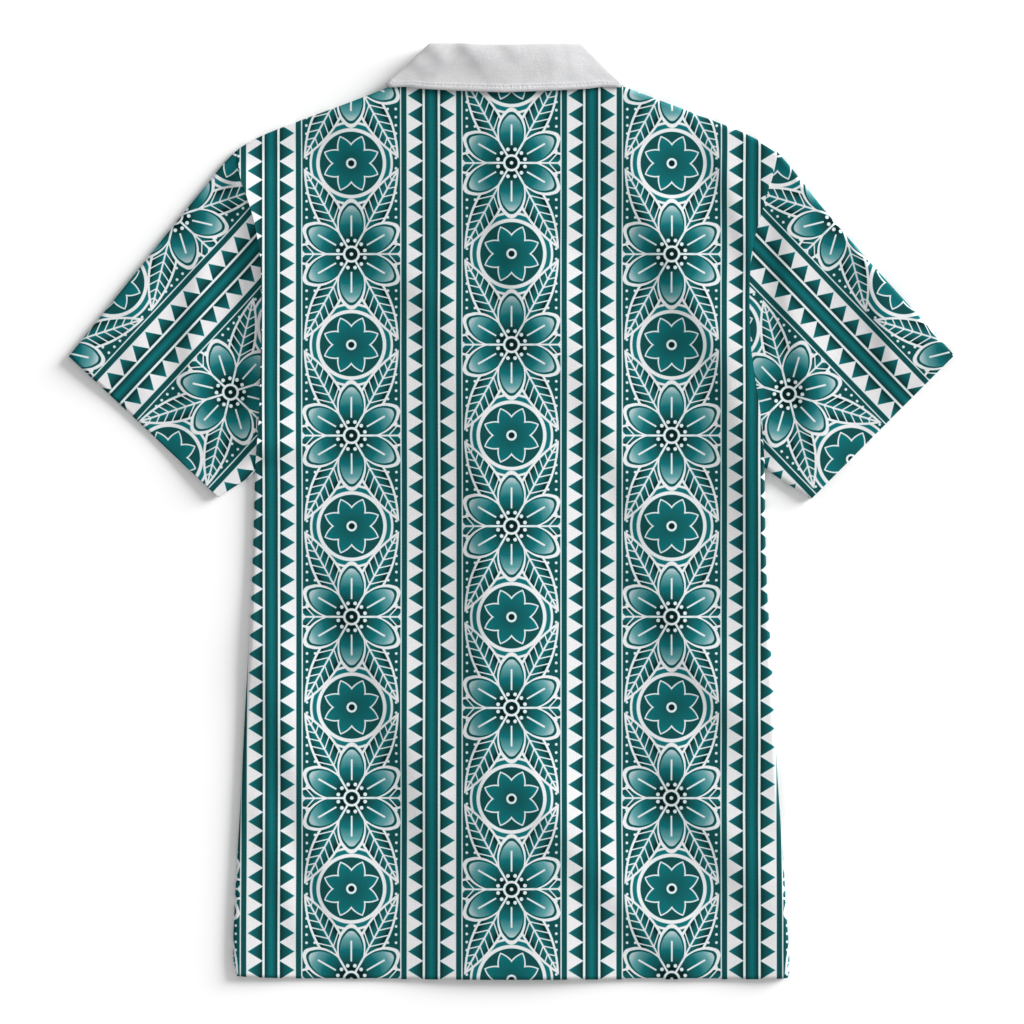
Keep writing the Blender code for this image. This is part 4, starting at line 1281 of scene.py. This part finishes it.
def print_tone(u, v):
    """The print at a place on the flat cut: upright borders, with flowers and rosettes between them."""
    lane = whole_of(u.times_plus(1.0 / BAND_SPACING, 0.5))
    y = u - lane * BAND_SPACING
    repeat = part_of(v.times_plus(1.0 / MOTIF_SPACING, lane * HALF_DROP))
    x = repeat.times_plus(MOTIF_SPACING, -MOTIF_SPACING / 2.0)
    out, up = size_of(y), size_of(x)
    tone = medallion(dotted_ground(x, y), up - MOTIF_SPACING / 2.0, y)
    for turn, length, width in LEAVES:
        tone = leaf(tone, *turned_axes(up, out, turn), length, width)
    tone = borders(tone, v, BAND_SPACING / 2.0 - out)
    return flower(tone, x, y)


def look(name):
    material = bpy.data.materials.new(name)
    material.use_nodes = True
    return material, material.node_tree, material.node_tree.nodes["Principled BSDF"]


def cut_place(tree):
    """The sideways and lengthways place on the flat cut, and the distance from its edge, in millimetres."""
    place = tree.nodes.new("ShaderNodeAttribute")
    place.attribute_name = "cut"
    split = feed(tree.nodes.new("ShaderNodeSeparateXYZ"), {0: place.outputs["Vector"]})
    return tuple(Wire(split.outputs[axis]) for axis in range(3))


def joined(u, v):
    return feed(u.tree.nodes.new("ShaderNodeCombineXYZ"), {0: u, 1: v}).outputs[0]


def noise(place, grain, detail=2.0):
    """Uneven values round 0.5, with blotches about this many millimetres across."""
    node = place.id_data.nodes.new("ShaderNodeTexNoise")
    node.noise_dimensions = "2D"
    return Wire(feed(node, {"Scale": 1.0 / grain, "Detail": detail, "Vector": place}).outputs[0])


def palette(value, stops):
    node = value.tree.nodes.new("ShaderNodeValToRGB")
    row = node.color_ramp.elements
    for index, (place, color) in enumerate(stops):
        stop = row[index] if index < 2 else row.new(place)
        stop.position = place
        stop.color = color + (1.0,)
    return feed(node, {0: value}).outputs[0]


def scaled(tree, color, factor):
    """A colour made lighter or darker by a factor."""
    node = tree.nodes.new("ShaderNodeVectorMath")
    node.operation = "SCALE"
    return feed(node, {0: color, "Scale": factor}).outputs[0]


# Threads of the cloth: their spacing, how much longer than wide their thick places are, and how wide
THREAD = 0.42
SLUB = 9.0
SLUB_GRAIN = 1.1

# Shades of the cloth, as shares of its brightness, and the grain of specks and blotches
THREAD_SHADE = 0.09
THREAD_RELIEF = 0.25
SPECK_SHADE, SPECK_GRAIN = 0.10, 1.4
BLOTCH_GRAIN = 46.0
CLOTH_SHADE = 0.86
CLOTH_SHINE = 0.05
CLOTH_ROUGHNESS, ROUGHNESS_SPREAD = 0.76, 0.12


def weave(u, v):
    """Height of plain-woven threads, with thicker places along some of them."""
    across = sine(u * (FULL_TURN / THREAD))
    along_cloth = sine(v * (FULL_TURN / THREAD))
    warp = noise(joined(u, v * (1.0 / SLUB)), SLUB_GRAIN, 1.0)
    weft = noise(joined(u * (1.0 / SLUB), v), SLUB_GRAIN, 1.0)
    return (across * along_cloth).times_plus(THREAD_RELIEF, warp + weft)


def bumped(tree, shader, height):
    """Bump from a height in millimetres."""
    node = feed(tree.nodes.new("ShaderNodeBump"), {"Strength": 1.0, "Distance": METRES, "Height": height})
    feed(shader, {"Normal": node.outputs[0]})


def woven(tree, shader, u, v, color, blotch, depth, relief=None):
    """Threads, specks and soft blotches over a colour, with the specks in roughness and the threads in bump.
    """
    threads = weave(u, v)
    place = joined(u, v)
    speck = noise(place, SPECK_GRAIN, 3.0)
    cloud = noise(place, BLOTCH_GRAIN, 2.0).times_plus(blotch, CLOTH_SHADE - blotch * 0.5)
    factor = threads.times_plus(THREAD_SHADE, speck.times_plus(SPECK_SHADE, cloud))
    roughness = speck.times_plus(ROUGHNESS_SPREAD, CLOTH_ROUGHNESS)
    color = scaled(tree, color, factor)
    feed(shader, {"Base Color": color, "Roughness": roughness, "Specular IOR Level": CLOTH_SHINE})
    bumped(tree, shader, threads * depth if relief is None else threads.times_plus(depth, relief))


PRINTED_BLOTCH, PRINTED_DEPTH = 0.05, 0.05


def printed_cloth(name, stops=INKS):
    material, tree, shader = look(name)
    u, v = cut_place(tree)[:2]
    woven(tree, shader, u, v, palette(print_tone(u, v), stops), PRINTED_BLOTCH, PRINTED_DEPTH)
    return material


# The plain collar: its shades, then its uneven threads, the groove at its stitches and its puckers
COLLAR_SHADES = ((0.3, (0.61, 0.61, 0.62)), (0.7, (0.67, 0.67, 0.68)))
COLLAR_GRAIN = 16.0
COLLAR_BLOTCH, COLLAR_DEPTH = 0.06, 0.07
GROOVE_DEPTH = 0.3
PUCKER_DEPTH, PUCKER_GRAIN, PUCKER_LENGTH, PUCKER_FADE = 0.5, 1.7, 5.0, 0.35


def collar_cloth(name):
    """Plain cloth, puckered between its edge and a sunken stitch line."""
    material, tree, shader = look(name)
    u, v, edge = cut_place(tree)
    tint = palette(noise(joined(u, v), COLLAR_GRAIN), COLLAR_SHADES)
    near_stitch = size_of(edge - STITCH_INSET)
    groove = near_stitch.times_plus(-1.0, 1.0, clamp=True)
    pucker = noise(joined(u, v * (1.0 / PUCKER_LENGTH)), PUCKER_GRAIN, 1.0)
    pucker = pucker * near_stitch.times_plus(-PUCKER_FADE, 1.0, clamp=True)
    relief = groove.times_plus(-GROOVE_DEPTH, pucker * PUCKER_DEPTH)
    woven(tree, shader, u, v, tint, COLLAR_BLOTCH, COLLAR_DEPTH, relief=relief)
    return material


PALE_THREAD = (0.72, 0.73, 0.73)
THREAD_SHADOW = 0.72
TWIST_DEPTH = 0.04


def thread(name, color):
    """Twisted sewing thread."""
    material, tree, shader = look(name)
    place = tree.nodes.new("ShaderNodeTexCoord").outputs["Object"]
    twist = tree.nodes.new("ShaderNodeTexWave")
    twist.bands_direction = "DIAGONAL"
    feed(twist, {"Scale": 900.0, "Distortion": 1.5, "Vector": place})
    turns = Wire(twist.outputs["Fac"])
    dark = tuple(channel * THREAD_SHADOW for channel in color)
    shades = palette(turns, ((0.0, dark), (1.0, color)))
    feed(shader, {"Base Color": shades, "Roughness": turns.times_plus(-0.15, 0.7)})
    bumped(tree, shader, turns * TWIST_DEPTH)
    return material


RESIN_SHADES = ((0.3, (0.5, 0.56, 0.54)), (0.5, (0.68, 0.72, 0.69)), (0.72, (0.8, 0.82, 0.79)))
RESIN_DEPTH = 0.05


def pearly_resin(name):
    """Pale button resin with cloudy swirls."""
    material, tree, shader = look(name)
    place = tree.nodes.new("ShaderNodeTexCoord").outputs["Object"]
    clouds = tree.nodes.new("ShaderNodeTexNoise")
    feed(clouds, {"Scale": 240.0, "Detail": 4.0, "Distortion": 2.2, "Vector": place})
    swirl = Wire(clouds.outputs[0])
    roughness = swirl.times_plus(0.25, 0.16)
    feed(shader, {"Base Color": palette(swirl, RESIN_SHADES), "Roughness": roughness, "Coat Weight": 0.3})
    bumped(tree, shader, swirl * RESIN_DEPTH)
    return material


# Floor, in metres
FLOOR_HALF_WIDTH = 3.0
FLOOR_DROP = 0.0002
FLOOR_COLOR = (0.9, 0.9, 0.9, 1.0)


def floor():
    """The paper that the shirt lies on, a hair below it."""
    turns = ((-1, -1), (1, -1), (1, 1), (-1, 1))
    corners = [(x * FLOOR_HALF_WIDTH, y * FLOOR_HALF_WIDTH, 0.0) for x, y in turns]
    mesh = bpy.data.meshes.new("floor")
    mesh.from_pydata(corners, [], [(0, 1, 2, 3)])
    piece = placed("floor", mesh)
    piece.location = (0.0, 0.0, -FLOOR_DROP)
    material, _, shader = look("floor_paper")
    feed(shader, {"Base Color": FLOOR_COLOR, "Roughness": 0.9})
    mesh.materials.append(material)


# Light. Angles in degrees, strengths in Blender's own units.
KEY_BEARING = 28.0
KEY_ELEVATION = 15.5
KEY_SPREAD = 31.0
KEY_STRENGTH = 6.75
STUDIO_STRENGTH = 0.57


def key_light():
    """An even, soft light from the upper right, low enough to bring out the folds."""
    lamp = bpy.data.lights.new("key", "SUN")
    lamp.angle = math.radians(KEY_SPREAD)
    lamp.energy = KEY_STRENGTH
    tilt, turn = math.radians(90.0 - KEY_ELEVATION), math.radians(KEY_BEARING)
    placed("key", lamp).rotation_euler = (0.0, tilt, turn)


def stage():
    floor()
    key_light()
    world = bpy.data.worlds.new("studio")
    bpy.context.scene.world = world
    world.use_nodes = True
    feed(world.node_tree.nodes["Background"], {"Color": (1.0, 1.0, 1.0, 1.0), "Strength": STUDIO_STRENGTH})
    bpy.context.scene.view_settings.view_transform = "Standard"


# Camera, in metres: its place, and the picture's width at the cloth's height. The sensor is in millimetres.
CAMERA_PLACE = (0.0004, -0.0005, 3.2)
PICTURE_WIDTH = 0.8806
CLOTH_HEIGHT = 0.005
SENSOR = 36.0


def camera():
    """Straight above, as in the photograph."""
    view = bpy.data.cameras.new("camera")
    view.sensor_width = SENSOR
    view.lens = SENSOR * (CAMERA_PLACE[2] - CLOTH_HEIGHT) / PICTURE_WIDTH
    thing = placed("camera", view)
    thing.location = CAMERA_PLACE
    bpy.context.scene.camera = thing


def main():
    camera()
    stage()
    printed = [printed_cloth("printed_cloth"), printed_cloth("printed_cloth_reverse", REVERSE_INKS)]
    plain = [collar_cloth("collar_cloth")]
    pale_thread = thread("pale_thread", PALE_THREAD)
    shell = pearly_resin("button_resin")
    back_sheet(printed)
    for side in ("left", "right"):
        front_sheet(side, printed, pale_thread)
        sleeve_sheet(side, printed)
    collar_sheet(plain, pale_thread)
    blank = drilled_button_mesh()
    for number in range(1, len(BUTTON_HEIGHTS) + 1):
        buttonhole(number, pale_thread)
        button(number, blank, shell, pale_thread)


main()
